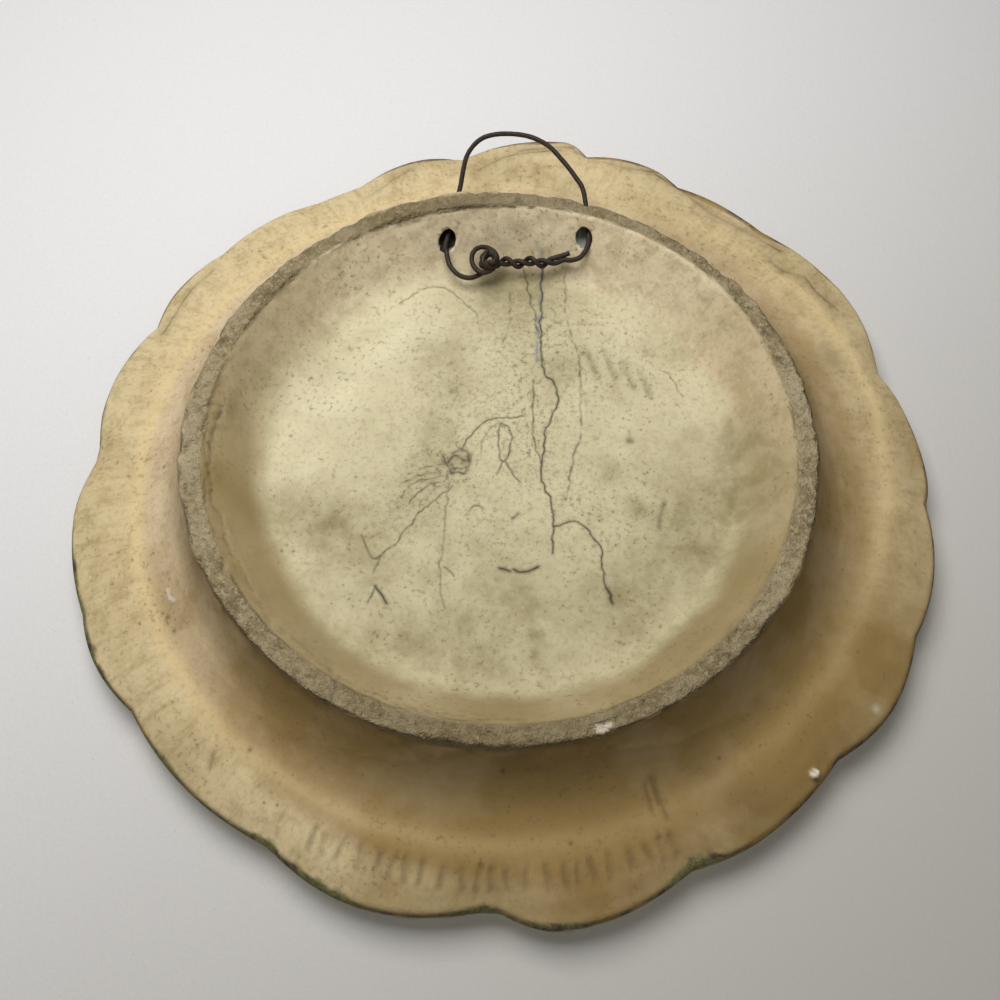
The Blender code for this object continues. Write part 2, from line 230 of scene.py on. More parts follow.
def bend(start, middle, end, steps):
    """A quadratic curve between two (radius, out) places."""
    share = np.linspace(0.0, 1.0, steps + 1)[:, None]
    start, middle, end = np.array(start), np.array(middle), np.array(end)
    return (1 - share) ** 2 * start + 2 * share * (1 - share) * middle + share**2 * end


def back_section():
    """(radius, out) from the recess's middle to the rim's widest point, finely stepped."""
    inner = FOOT_RADIUS - LAND_WIDTH
    corner = (inner - RECESS_WALL_RUN, -RECESS_DEPTH)
    wall = np.array((RECESS_WALL_RUN, RECESS_DEPTH)) / math.hypot(RECESS_WALL_RUN, RECESS_DEPTH)
    on_wall = (corner[0] + FILLET_REACH * wall[0], corner[1] + FILLET_REACH * wall[1])
    band_start = np.array((FOOT_RADIUS + COVE_RUN, -COVE_DROP))
    band_end = np.array((RIM_RADIUS - EDGE_BEVEL, -RIM_DROP))
    cove_bend = (FOOT_RADIUS + COVE_BEND[0] * COVE_RUN, -COVE_BEND[1] * COVE_DROP)
    edge = (RIM_RADIUS, -RIM_DROP - EDGE_BEVEL)
    runs = [
        [(0.0, -RECESS_DEPTH)],
        bend((corner[0] - FILLET_REACH, corner[1]), corner, on_wall, 8),
        bend((inner - ARRIS * wall[0], -ARRIS * wall[1]), (inner, 0.0), (inner + ARRIS, 0.0), 3),
        bend((FOOT_RADIUS - ARRIS, 0.0), (FOOT_RADIUS, 0.0), (FOOT_RADIUS + ARRIS, -ARRIS), 3),
        bend((FOOT_RADIUS + ARRIS, -ARRIS), cove_bend, band_start, 24)[1:],
        [band_start + (band_end - band_start) * np.array(shares) for shares in BAND_POINTS],
        bend(band_end, (RIM_RADIUS - 0.2 * EDGE_BEVEL, -RIM_DROP - 0.1 * EDGE_BEVEL), edge, 5),
    ]
    return np.vstack([np.atleast_2d(run) for run in runs])


def front_section():
    """(radius, out) from the rim's front edge to the middle of the well."""
    well = -RECESS_DEPTH - PANEL_THICKNESS
    base = well - WELL_RISE
    edge = (RIM_RADIUS, -RIM_DROP - EDGE_THICKNESS)
    crest = (RIM_RADIUS - CREST_INSET, -RIM_DROP - CREST_RISE)
    bead_out = WELL_RADIUS + BEAD_WIDTH
    share = np.linspace(0.0, math.pi, 10)
    bead = np.column_stack(
        (bead_out - BEAD_WIDTH * (1.0 - np.cos(share)) / 2.0, base - BEAD_HEIGHT * np.sin(share))
    )
    side = (RIM_RADIUS, edge[1] + 0.5 * EDGE_BEVEL)
    under = (RIM_RADIUS - EDGE_BEVEL, edge[1] - 0.4)
    runs = [
        bend(side, edge, (RIM_RADIUS - 0.8 * EDGE_BEVEL, edge[1]), 3),
        bend(under, (RIM_RADIUS - 0.6 * CREST_INSET, crest[1]), crest, 8),
        bend(crest, ((crest[0] + bead_out) / 2.0, crest[1] + 0.2), (bead_out + 0.3, base - 0.2), 16)[1:],
        bead,
        bend((WELL_RADIUS - 0.3, base), (WELL_RADIUS - 6.0, well), (0.8 * WELL_RADIUS, well), 6),
        [(inwards * WELL_RADIUS, well) for inwards in (0.6, 0.4, 0.2)],
    ]
    return np.vstack(runs)


def along(section):
    """Length along a section at each of its points."""
    steps = np.hypot(*np.diff(section, axis=0).T)
    return np.concatenate(([0.0], np.cumsum(steps)))


def leaf_reach(angle):
    reach = np.zeros_like(angle)
    for tip, length, before, after in LEAVES:
        turn = turn_between(tip, angle)
        share = np.clip(np.where(turn < 0.0, -turn / before, turn / after), 0.0, 1.0)
        reach = np.maximum(reach, length * (1.0 - share * share) ** LEAF_POINT)
    return reach


def curl(angle):
    share = np.clip(turn_between(CURL_ANGLE, angle) / CURL_HALF_WIDTH, -1.0, 1.0)
    return CURL_HEIGHT * (1.0 - share * share) ** 2


def place_in_leaf(angle):
    """-1 at one border of the leaf at an angle, 0 at its rib and 1 at its other border."""
    place = np.zeros_like(angle)
    for number, leaf in enumerate(LEAVES):
        to_next = turn_between(leaf[0], LEAVES[(number + 1) % len(LEAVES)][0]) / 2.0
        to_last = turn_between(LEAVES[number - 1][0], leaf[0]) / 2.0
        turn = turn_between(leaf[0], angle)
        inside = (turn >= -to_last) & (turn < to_next)
        place = np.where(inside, np.where(turn < 0.0, turn / to_last, turn / to_next), place)
    return place


def leaf_relief(angle, radius):
    across = place_in_leaf(angle)
    root = WELL_RADIUS + BEAD_WIDTH + LEAF_INNER_ROUND * across * across
    blade = LEAF_BLADE * (1.0 - np.abs(across) ** 2.5)
    lap = LEAF_LAP * (across + 1.0) / 2.0
    rib = LEAF_RIB * np.exp(-((across / LEAF_RIB_SHARE) ** 2))
    veins = LEAF_VEIN * np.sin(0.9 * radius - 9.0 * np.abs(across)) * smooth(0.1, 0.3, np.abs(across))
    return (blade + lap + rib + veins) * smooth(root, root + LEAF_INNER_ROUND, radius)


def shaped(angle, radius, out):
    """Stretches a turned place by the wavy rim, the uneven foot ring and the curl."""
    in_cove = smooth(FOOT_RADIUS + 0.5 * COVE_RUN, RIM_RADIUS, radius)
    on_band = smooth(FOOT_RADIUS + 0.8 * COVE_RUN, RIM_RADIUS, radius)
    near_ring = smooth(0.5 * FOOT_RADIUS, 0.8 * FOOT_RADIUS, radius) * (1.0 - in_cove)
    far = radius + leaf_reach(angle) * on_band + wander(angle) * near_ring
    return far, out + curl(angle) * in_cove


# Smooth noise, the same on each run


def lattice(ix, iy, iz):
    """A repeatable number from -1 to 1 for each point of a whole-number lattice."""
    mixed = (ix * 73856093) ^ (iy * 19349663) ^ (iz * 83492791) ^ (SEED * 2654435)
    mixed = (mixed ^ (mixed >> 13)) * 1274126177 & 0x7FFFFFFF
    return (mixed % 20011) / 10005.5 - 1.0


def noise(points, size, layer=0):
    """Smooth noise from about -1 to 1, with bumps of about the given size in mm."""
    scaled = points / size + 100.0 + 17.0 * layer
    cell = np.floor(scaled).astype(np.int64)
    part = scaled - cell
    part = part * part * (3.0 - 2.0 * part)
    total = np.zeros(len(points))
    for corner in range(8):
        step = np.array((corner & 1, corner >> 1 & 1, corner >> 2 & 1))
        weight = np.prod(np.where(step == 1, part, 1.0 - part), axis=1)
        total += weight * lattice(*(cell + step).T)
    return total


def rough(points, size, octaves, layer=0):
    total = np.zeros(len(points))
    for octave in range(octaves):
        total += noise(points, size / 2**octave, layer + octave) / 2**octave
    return total


# Cracks and faint drawn lines on the back, as (right, up) in mm, read off the photo
CRACK = ((15.2, 69), (14.5, 55.6), (13.8, 40.2), (14.6, 30.1), (16.9, 25.3), (17.8, 18.8), (15.0, 11.8),
         (13.6, 7.0), (12.6, -1.5), (11.7, -6.9), (14.1, -13.2), (14.6, -21.3), (14.1, -31.1))
SIDE_CRACK = ((10.8, 27.3), (10.3, 16.9), (9.9, 7.1), (12.0, -1.5))
HIGH_CRACK = ((9.6, 69.8), (10.8, 60.1), (12.4, 51.0), (13.3, 42.1), (14.7, 32.7))
BLUE_STREAK = ((15.5, 73.0), (15.4, 68.6), (14.2, 55.6), (12.7, 44.0), (12.3, 33.9))
DOTTED = ((22.8, 67.2), (22.2, 49.5), (25.3, 37.2), (25.3, 26.8), (23.9, 8.7), (21.1, -2.9), (18.7, -14.4))
DOTTED_LEFT = ((4.7, 61.9), (4.1, 50.1), (1.9, 40.7))
BRANCH = ((14.8, -23.2), (19.2, -21.8), (22.3, -22.6), (25.6, -26.1), (28.1, -30.9), (27.9, -38.6),
          (30.1, -46.2))
BRANCH_END = ((28.7, -42.3), (30.1, -46.2))
BLOT = (((-14.5, 2.8), (-10.2, 2.0), (-9.6, -1.6), (-13.4, -2.6), (-16.0, 0.0), (-13.6, 1.6), (-11.2, -0.2)),
        ((-12.6, 3.6), (-8.6, 0.8), (-10.8, -3.4)), ((-17.4, 2.0), (-15.2, -3.2), (-11.4, -4.2)))
LEFT_ARC = ((-41.0, -23.6), (-37.3, -31.2), (-34.5, -29.5), (-32.2, -28.0), (-26.9, -20.9), (-23.7, -15.8),
            (-17.8, -11.5), (-14.6, -8.3))
LEFT_TAIL = ((-34.5, -29.5), (-37.0, -34.9))
INNER_ARC = ((-15.5, -7.3), (-16.7, -18.7), (-17.3, -26.6), (-18.2, -33.7), (-18.2, -39.8), (-17.1, -45.9))
SHORT_LINE = ((-16.8, -33.8), (-14.2, -36.9))
TOP_ARC = ((-31.5, 57.3), (-26.3, 61.5), (-19.9, 64.0), (-15.0, 62.2), (-10.2, 57.7), (-5.8, 51.7))
RIGHT_ARC = ((50.4, 30.3), (53.7, 26.5), (56.1, 19.5))
V_THIN = ((-38.4, -44.3), (-36.6, -39.8))
V_DARK = ((-36.6, -39.8), (-33.6, -45.0))
DASHES = (((-1.4, -35.2), (1.5, -36.2)), ((2.9, -35.7), (4.0, -36.4)), ((5.2, -36.4), (6.2, -36.4)),
          ((7.2, -36.2), (9.6, -35.0)))
CLUSTER = ((-10.0, -17.0), (-7.9, -15.1), (-5.9, -16.1))
SMALL_CLUSTER = ((2.7, -20.0), (4.5, -18.4))
FAN_TOP = ((-11.8, 3.0), (-9.3, 7.8), (-4.7, 12.5), (-0.4, 14.1), (7.2, 14.2))
FAN_SIDE = ((-5.8, 2.8), (-4.8, 7.6), (-1.0, 12.0))
LOOP_LINE = ((0.4, 12.3), (-0.6, 7.5), (0.1, 0.6), (1.0, -1.1), (2.6, 2.5), (3.6, 7.3), (2.5, 10.5),
             (0.4, 12.3))
LOOP_TAIL = ((-0.9, -5.1), (1.0, -1.1), (3.2, -4.2), (5.2, -8.0))
FAN = (
    ((-16.9, -4.6), (-25.5, -6.9), (-29.6, -11.7)),
    ((-16.0, -3.2), (-24.0, -4.3), (-28.5, -6.8)),
    ((-16.3, -5.9), (-22.6, -8.3), (-27.5, -13.8)),
    ((-15.2, -6.6), (-20.5, -9.7), (-24.6, -14.5)),
    ((-14.5, -0.6), (-22.6, -1.7), (-27.0, -4.2)),
)
LEDGE = ((-81.3, 14.2), (-83.2, 5.0), (-83.4, -4.8), (-81.4, -17.2), (-79.0, -22.3), (-75.6, -31.7),
         (-72.4, -36.1), (-68.6, -44.3), (-62.0, -53.4), (-54.0, -60.6), (-43.0, -69.6), (-27.6, -77.3),
         (-12.4, -81.2), (4.0, -81.9))
LEDGE_TOP = ((-86.5, 12.6), (-81.3, 14.2))
LAND_CRACK = ((-43.5, -70.0), (-44.4, -73.0), (-45.4, -76.5))
HOLE_CRACK = ((-10.0, 81.8), (-12.1, 79.3))
HOLE_SCRATCH = ((-7.6, 78.6), (-9.4, 75.9))

# Impressed strokes: a row of plain ones along the lower rim, and a few on the floor
STROKE_RADII = (115.6, 121.6)
STROKE_ANGLES = (244, 291)
STROKE_COUNT = 23
STROKE_DEPTH = 0.50
STROKE_WIDTH = 0.80
FLOOR_STROKE_WIDTH = 0.85
FLOOR_STROKES = (((28.4, 36.4), (31.0, 27.0)), ((33.8, 36.8), (36.4, 27.4)), ((39.2, 33.0), (41.8, 23.4)),
                 ((44.4, 28.6), (46.8, 19.4)))
FLOOR_DOT = (39.0, 4.7)
SCRATCHES = (((35.1, -96.4), (36.6, -102.9)), ((37.8, -95.4), (40.2, -104.4)),
             ((36.6, -94.6), (38.6, -101.0)))

# Folds of the rim's leaves: line, step down outside it in mm, darkness of the painted shade along it
FOLDS = (
    (((-43.7, 109.3), (-36.0, 116.5), (-29.9, 122.1), (-24.6, 126.9), (-13.0, 127.6)), 0.7, 0.60),
    (((-4.8, 118.6), (3.9, 124.6), (12.2, 126.7), (24.8, 127.2)), 0.8, 0.85),
    (((10.4, 128.6), (16.6, 130.0), (29.5, 129.0)), 0.6, 0.75),
    (((30.1, 127.0), (37.4, 123.3), (44.3, 119.9), (51.7, 117.9), (58.8, 117.2)), 1.1, 0.90),
    (((58.0, 115.6), (66.9, 108.6), (70.3, 104.7), (74.8, 99.2), (83.2, 92.6), (91.9, 86.1), (97.3, 81.6)),
     1.6, 1.00),
    (((92.9, 76.2), (96.4, 71.9), (103.4, 70.0), (106.0, 63.0), (112.4, 55.7)), 0.6, 0.70),
    (((-95.6, 80.4), (-101.3, 73.1), (-104.6, 66.0), (-109.6, 54.6)), 0.9, 0.85),
)

# Chips, lumps and spots: place, size in mm
FOOT_CHIP = (22.8, -85.6)
FOOT_CHIP_TAIL = (25.4, -84.7)
RIM_LUMP = (81.0, -93.6)
RIM_CHIP = (100.8, -76.8)
NICK = ((-96.4, -37.2), (-95.6, -39.8), (-94.2, -40.8))
FLAKE = ((47.6, -16.0), (45.6, -20.8), (45.3, -24.3))
COVE_CUT = ((-80.0, -84.4), (-80.8, -88.0))
DARK_SPOTS = (
    (-101.2, 1.8, 0.6), (-95.8, -45.1, 0.8), (-93.7, -49.3, 0.6), (-69.8, -83.5, 0.7), (-1.9, -93.4, 0.6),
    (-65.4, -97.3, 0.4), (-61.8, -98.0, 0.5), (-85.3, -80.0, 0.4), (-62.2, -26.0, 0.4), (-63.6, -28.0, 0.4),
    (-60.2, -28.0, 0.5), (-63.2, 10.0, 0.5), (-43.0, -4.7, 0.4), (-43.2, -9.3, 0.35), (32.2, -29.2, 0.4),
    (-10.0, -0.1, 1.2), (39.0, 4.7, 1.3), (14.9, -110.2, 0.6), (-8.4, -113.6, 0.5), (55.6, -89.6, 0.6),
)

# Soft patches: right, up, size in mm and strength
STAINS = (
    (-62, -14, 8, 0.55), (-53, -20, 9, 0.60), (-45, -28, 9, 0.60), (-37, -33, 8, 0.45), (71, 3, 8, 0.8),
    (64, -16, 11, 0.75), (56, -34, 11, 0.65), (74, -10, 8, 0.6), (54, -24, 10, 0.45), (-10, -61, 8, 0.45),
    (4, -45, 10, 0.45), (-13, -48, 7, 0.40), (27, -46, 9, 0.45), (15, -57, 7, 0.30), (38, -46, 9, 0.45),
    (1, 64, 9, 0.65), (14, 60, 9, 0.65), (40, -18, 3.2, 0.7), (32, -5, 4, 0.5), (-15, 28, 6, 0.35),
    (19, 31, 7, 0.45), (44, -34, 8, 0.40), (49, -61, 8, 0.35), (20, -66, 7, 0.30), (-24, -56, 8, 0.45),
    (8, -55, 1.6, 0.8), (8, -61, 1.8, 0.7), (-14, 1, 6, 0.5), (-26, -9, 7, 0.35), (106, 38, 4, 0.5),
    (107, 34, 3, 0.6), (62, -100, 7, 0.4), (50, -92, 7, 0.35), (-45, -52, 20, 0.28), (0, -66, 24, 0.28),
    (40, -58, 20, 0.22), (4, 50, 16, 0.30), (46, 40, 14, 0.12), (-2, -38, 20, 0.18), (60, -20, 22, 0.25),
)
# Pale patches: partly paler plaster, partly painted light where the floor's left edge and its lumps face the
# light
PALE_AND_LIT_PATCHES = (
    (-60, 16, 12, 0.9), (-63, -1, 9, 0.8), (-31, 46, 14, 0.9), (45, 45, 12, 0.6), (-45, -46, 9, 0.5),
    (-15, -41, 8, 0.5), (13, -57, 7, 0.4), (72, -27, 6, 0.4), (31, 12, 10, 0.4), (-50, 30, 12, 0.9),
    (-5, 39, 7, 0.4), (-21, -71, 8, 0.2), (14, -76, 8, 0.2), (-56, -32, 5, 0.6), (60, 14, 8, 0.5),
)
SPECKLED = (
    (12, 45, 17, 0.8), (6, 12, 14, 1.0), (-12, 22, 11, 0.6), (-18, -4, 13, 1.0), (16, -10, 12, 0.6),
    (-4, -25, 14, 0.4), (24, 28, 9, 0.5), (46, 30, 12, 0.35), (-58, -26, 8, 0.3), (35, -25, 18, 0.3),
    (-30, -18, 9, 0.6),
)

# Browner or paler sides, partly painted shade and painted highlight: middle angle, half width in degrees and
# strength
# Painted highlight on the ridge, by side
RIDGE_HIGHLIGHT_SIDES = ((195, 55, 0.88), (15, 34, 0.90), (120, 30, 0.45))
RIDGE_RADIUS = 110.0
RIDGE_BULGE = 8.5
RIDGE_BULGE_SIDES = ((20, 40, 1.0),)
COVE_SINK = 11.0
COVE_SINK_SIDES = ((278, 42, 1.0),)
LAND_DARK_SIDES = ((272, 46, 0.85), (92, 42, 0.85))
LAND_NARROWING = 1.9
LAND_SIDES = ((45, 32, 1.0),)
FLOOR_LUMPS = 0.95
FLOOR_REACH = 4.5
FLOOR_SIDES = ((285, 62, 1.0),)
# Painted shade along the corner between the floor and the wall, by side
CORNER_SHADE_SIDES = ((185, 42, 0.42), (330, 40, 0.25), (262, 25, 0.20))
# Tan of the wall, the cove and the band by side: partly their own tan, partly painted shade
WALL_TAN_AND_SHADE_SIDES = ((182, 30, 1.0), (220, 28, 0.85), (270, 40, 0.92), (322, 38, 0.92), (5, 32, 0.35),
                  (150, 16, 0.20))
COVE_TAN_AND_SHADE_SIDES = ((275, 55, 1.0), (320, 40, 0.90), (238, 28, 0.70), (8, 44, 0.65), (190, 40, 0.08),
                  (110, 30, 0.1))
BAND_TAN_AND_SHADE_SIDES = ((314, 30, 1.0), (350, 40, 0.30), (276, 26, 0.80), (185, 26, 0.10), (40, 40, 0.18),
                  (222, 12, 0.2))

# Green paint of the front that wraps over the rim: angle, half width in degrees, strength
MOSS = ((192, 3.5, 0.55), (199, 5, 0.55), (206, 5, 0.6), (222, 4, 0.4), (240, 4, 0.7), (247, 5, 0.8),
        (266, 5, 0.5), (275, 4, 0.5), (292, 4.5, 1.0), (170, 6, 0.35), (158, 5, 0.3))


def rim_strokes():
    """Plain upright strokes of uneven height, in a row along the lower rim."""
    strokes = []
    for number in range(STROKE_COUNT):
        share = (number + 0.22 * math.sin(5.1 * number)) / (STROKE_COUNT - 1)
        angle = STROKE_ANGLES[0] + (STROKE_ANGLES[1] - STROKE_ANGLES[0]) * share
        slant = 0.22 * math.sin(2.3 * number)
        trim = 0.5 + 0.5 * math.sin(1.7 * number)
        ends = []
        for radius, turn in ((STROKE_RADII[0] + trim, -slant), (STROKE_RADII[1] - 0.4 * trim, slant)):
            at = math.radians(angle + turn)
            ends.append((radius * math.cos(at), radius * math.sin(at)))
        strokes.append(tuple(ends))
    return strokes


def through(line, step):
    """Points about a step apart on a smooth curve through a line's points."""
    knots = np.array(line, float)
    knots = np.vstack((2 * knots[0] - knots[1], knots, 2 * knots[-1] - knots[-2]))
    made = []
    for p0, p1, p2, p3 in zip(knots[:-3], knots[1:-2], knots[2:-1], knots[3:]):
        count = max(1, round(float(np.linalg.norm(p2 - p1)) / step))
        t = (np.arange(count) / count)[:, None]
        second = (2 * p0 - 5 * p1 + 4 * p2 - p3) * t**2
        third = (3 * p1 - 3 * p2 + p3 - p0) * t**3
        made.append(0.5 * (2 * p1 + (p2 - p0) * t + second + third))
    return np.vstack(made + [knots[-2:-1]])


def wiggled(line, amount=0.5, step=1.0):
    """A line's smooth curve with a small tremble, as of a crack or a blunt pencil."""
    curve = through(line, step)
    flat = np.column_stack((curve, np.zeros(len(curve))))
    side = np.column_stack((rough(flat, 2.2, 2, 41), rough(flat, 2.2, 2, 47)))
    return curve + amount * side


def distance(points, line):
    """Distance in mm, seen from behind, from each point to a line, worked out near the line only."""
    line = np.array(line, float)
    low, high = line.min(axis=0) - NEAR_LINE, line.max(axis=0) + NEAR_LINE
    near = np.flatnonzero(((points[:, :2] > low) & (points[:, :2] < high)).all(axis=1))
    flat = points[near, :2]
    nearest = np.full(len(flat), NEAR_LINE)
    for start, end in zip(line[:-1], line[1:]):
        run = end - start
        share = np.clip(((flat - start) @ run) / max(float(run @ run), 1e-9), 0.0, 1.0)
        nearest = np.minimum(nearest, np.hypot(*(flat - start - share[:, None] * run).T))
    away = np.full(len(points), NEAR_LINE)
    away[near] = nearest
    return away


def spot(points, place, size):
    return np.exp(-((np.hypot(*(points[:, :2] - np.array(place, float)).T) / size) ** 2))


def patches(points, table):
    """Soft patches that overlap without growing past 1."""
    clear = np.ones(len(points))
    for right, up, size, strength in table:
        clear *= 1.0 - strength * spot(points, (right, up), size)
    return 1.0 - clear


def line_mark(points, line, width):
    return np.exp(-((distance(points, line) / width) ** 2))


# Points of the back, before they are lifted onto the section


def rings():
    """(length along the section, spacing) of each ring of points on the back."""
    section = back_section()
    length = along(section)
    total = length[-1]
    at, rows = RING_START, []
    while at < total - 0.4:
        radius = float(np.interp(at, length, section[:, 0]))
        step = RING_STEP
        if FOOT_RADIUS - LAND_WIDTH - 2.0 < radius < FOOT_RADIUS + 1.5:
            step = LAND_STEP
        elif radius > RIM_RADIUS - 3.0:
            step = EDGE_STEP
        rows.append((at, max(step, EDGE_STEP)))
        at += step
    return rows, total


def background_points():
    rows, total = rings()
    places = [np.zeros((1, 2))]
    for number, (at, spacing) in enumerate(rows):
        count = max(6, round(2.0 * math.pi * at / spacing))
        angle = (np.arange(count) + 0.5 * (number % 2)) * 360.0 / count
        places.append(around(angle, at))
    edge = np.arange(EDGE_COUNT) * 360.0 / EDGE_COUNT
    places.append(around(edge, total))
    return np.vstack(places)


def seen_to_flat(points):
    """(right, up) places on the back as places on the flattened section."""
    section = back_section()
    length = along(section)
    angle = angle_of(points)
    radius = radius_of(points)
    turned = radius.copy()
    for _ in range(8):
        far, _ = shaped(angle, turned, 0.0)
        turned = turned - (far - radius)
    return around(angle, np.interp(turned, section[:, 0], length))


def line_points(line, width, step, rows=(-2.2, -1.1, 0.0, 1.1, 2.2)):
    """Rows of points along a mark, so that the mesh follows it closely."""
    made = []
    for start, end in zip(line[:-1], line[1:]):
        start, end = np.array(start, float), np.array(end, float)
        count = max(2, round(float(np.hypot(*(end - start))) / step))
        share = (np.arange(count + 1) / count)[:, None]
        normal = np.array((start[1] - end[1], end[0] - start[0]))
        normal = normal / np.hypot(*normal)
        for row in rows:
            made.append(start + (end - start) * share + normal * width * row)
    return np.vstack(made)


def drawn_lines():
    """Each crack or drawn line with its tremble, half width in mm, darkness and how broken it is."""
    plain = (
        (CRACK, 0.41, 1.00, 0.2),
        (SIDE_CRACK, 0.35, 0.85, 0.4),
        (HIGH_CRACK, 0.35, 0.85, 0.5),
        (DOTTED, 0.41, 0.74, 0.8),
        (DOTTED_LEFT, 0.38, 0.62, 0.8),
        (BRANCH, 0.38, 0.97, 0.2),
        (BRANCH_END, 0.61, 1.00, 0.1),
        (LEFT_ARC, 0.36, 0.85, 0.4),
        (LEFT_TAIL, 0.36, 0.74, 0.5),
        (INNER_ARC, 0.32, 0.57, 0.4),
        (SHORT_LINE, 0.32, 0.68, 0.2),
        (TOP_ARC, 0.35, 0.62, 0.4),
        (RIGHT_ARC, 0.35, 0.57, 0.6),
        (V_THIN, 0.35, 0.74, 0.2),
        (V_DARK, 0.57, 1.00, 0.1),
        (CLUSTER, 0.46, 0.74, 0.6),
        (SMALL_CLUSTER, 0.61, 0.85, 0.5),
        (FAN_TOP, 0.36, 0.91, 0.3),
        (FAN_SIDE, 0.34, 0.62, 0.6),
        (LOOP_LINE, 0.36, 0.91, 0.4),
        (LOOP_TAIL, 0.36, 0.80, 0.3),
        (LAND_CRACK, 0.40, 0.60, 0.4),
        (HOLE_CRACK, 0.50, 0.70, 0.7),
        (HOLE_SCRATCH, 0.42, 0.35, 0.8),
        (LEDGE, 0.42, 0.42, 0.8),
        (LEDGE_TOP, 0.46, 0.45, 0.5),
    )
    lines = [(wiggled(line), 0.85 * width, dark, broken) for line, width, dark, broken in plain]
    lines += [(wiggled(line, 0.7), 0.28, 0.70, 0.8) for line in FAN]
    lines += [(wiggled(line, 0.2), 0.55, 1.00, 0.1) for line in DASHES]
    lines += [(wiggled(line, 0.7), 0.42, 0.85, 0.5) for line in BLOT]
    return lines


def grooves():
    """Each impressed stroke with its half width in mm."""
    on_rim = [(line, STROKE_WIDTH) for line in rim_strokes()]
    return on_rim + [(line, FLOOR_STROKE_WIDTH) for line in FLOOR_STROKES]


def mark_points():
    made = [line_points(line, width, 0.8) for line, width, _, _ in drawn_lines()]
    made += [line_points(through(BLUE_STREAK, 2.0), 0.7, 0.9)]
    wide = (-2.6, -1.6, -0.8, 0.0, 0.8, 1.6, 2.6)
    made += [line_points(line, width, 0.6, wide) for line, width in grooves()]
    made += [line_points(line, STROKE_WIDTH, 0.6, wide) for line in SCRATCHES]
    made += [line_points(through(line, 2.0), 0.5, 0.8, wide) for line, _, _ in FOLDS]
    made += [line_points(line, 0.5, 0.5) for line in (NICK, FLAKE, COVE_CUT)]
    spots = [(place, 2.4) for place in (FOOT_CHIP, RIM_LUMP)] + [(RIM_CHIP, 1.2)]
    spots += [((right, up), size) for right, up, size in DARK_SPOTS]
    for place, size in spots:
        steps = np.arange(-1.6, 1.61, 0.32) * size
        made.append(np.stack(np.meshgrid(steps, steps), -1).reshape(-1, 2) + np.array(place))
    return seen_to_flat(np.vstack(made))


def hole_line(hole):
    """Middle of a wire hole's mouth in the recess and of its mouth outside."""
    inside, outside, depth = hole
    mouth_radius = FOOT_RADIUS - LAND_WIDTH - RECESS_WALL_RUN * depth / RECESS_DEPTH
    section = back_section()
    cove = section[section[:, 0] > FOOT_RADIUS]
    far_radius = float(np.interp(depth, -cove[:, 1], cove[:, 0]))
    mouth = np.array((inside, math.sqrt(mouth_radius**2 - inside**2), -depth))
    far = np.array((outside, math.sqrt(far_radius**2 - outside**2), -depth))
    return mouth, far


def thinned(points, least):
    """Drops points closer than a least spacing to an earlier one, on a fine lattice."""
    cell = np.floor(points / least).astype(np.int64)
    _, kept = np.unique(cell, axis=0, return_index=True)
    return points[np.sort(kept)]


def back_mesh():
    """Flat places and triangles of the whole back."""
    marks = thinned(mark_points(), MARK_SPACING)
    ground = background_points()
    edge_start = len(ground) - EDGE_COUNT
    busy = set(map(tuple, np.floor(marks / MARK_CLEARANCE).astype(int)))
    keep = [
        number >= edge_start or tuple(cell) not in busy
        for number, cell in enumerate(np.floor(ground / MARK_CLEARANCE).astype(int))
    ]
    total = rings()[1]
    marks = marks[np.hypot(*marks.T) < total - 0.5]
    flat = np.vstack((marks, ground[np.array(keep)]))
    found = delaunay_2d_cdt([Vector(place) for place in flat], [], [], 0, 1e-7)
    places = np.array([tuple(place) for place in found[0]])
    return places, [tuple(face) for face in found[2]]


# Relief of the back


def section_frame(length):
    """(radius, out) and the outward normal at lengths along the back's section."""
    section = back_section()
    measured = along(section)

    def place_at(wanted):
        return np.array([np.interp(wanted, measured, column) for column in section.T])

    radius, out = place_at(length)
    run, rise = place_at(length + 0.35) - place_at(np.maximum(length - 0.35, 0.0))
    size = np.hypot(run, rise)
    return radius, out, -rise / size, run / size


def zones(radius, narrowed=0.0):
    """Soft masks of the back's parts."""
    inner = FOOT_RADIUS - LAND_WIDTH
    outside = smooth(FOOT_RADIUS, FOOT_RADIUS + 0.9, radius)
    on_land = smooth(inner - 1.0 + narrowed, inner + 0.2 + narrowed, radius) * (1.0 - outside)
    on_floor = 1.0 - smooth(inner - RECESS_WALL_RUN - 4.6, inner - RECESS_WALL_RUN + 2.6, radius)
    on_edge = smooth(RIM_RADIUS - 1.1, RIM_RADIUS - 0.2, radius)
    return {"land": on_land, "floor": on_floor, "cove": outside, "edge": on_edge}


def side_of(points, line):
    """Signed distance from a line that runs round the rim, positive outside it, and where it counts."""
    radius = radius_of(points)
    angle = angle_of(points)
    knots = np.array(line, float)
    knot_angle = angle_of(knots)
    order = np.argsort(knot_angle)
    at = np.interp(angle, knot_angle[order], np.hypot(*knots[order].T))
    within = smooth(knot_angle.min() - 1.0, knot_angle.min() + 4.0, angle)
    within = within * (1.0 - smooth(knot_angle.max() - 4.0, knot_angle.max() + 1.0, angle))
    return radius - at, within


def foot_chip(points):
    uneven = spot(points, FOOT_CHIP, 1.7) + 0.8 * spot(points, FOOT_CHIP_TAIL, 1.2)
    return smooth(0.40, 0.60, uneven * (1.0 + 0.55 * noise(points, 1.2, 8)))


def rim_lump(points):
    return smooth(0.42, 0.62, spot(points, RIM_LUMP, 1.7) * (1.0 + 0.6 * noise(points, 1.3, 4)))


def land_pits(points):
    return smooth(0.62, 0.95, rough(points, 2.7, 2, 23))


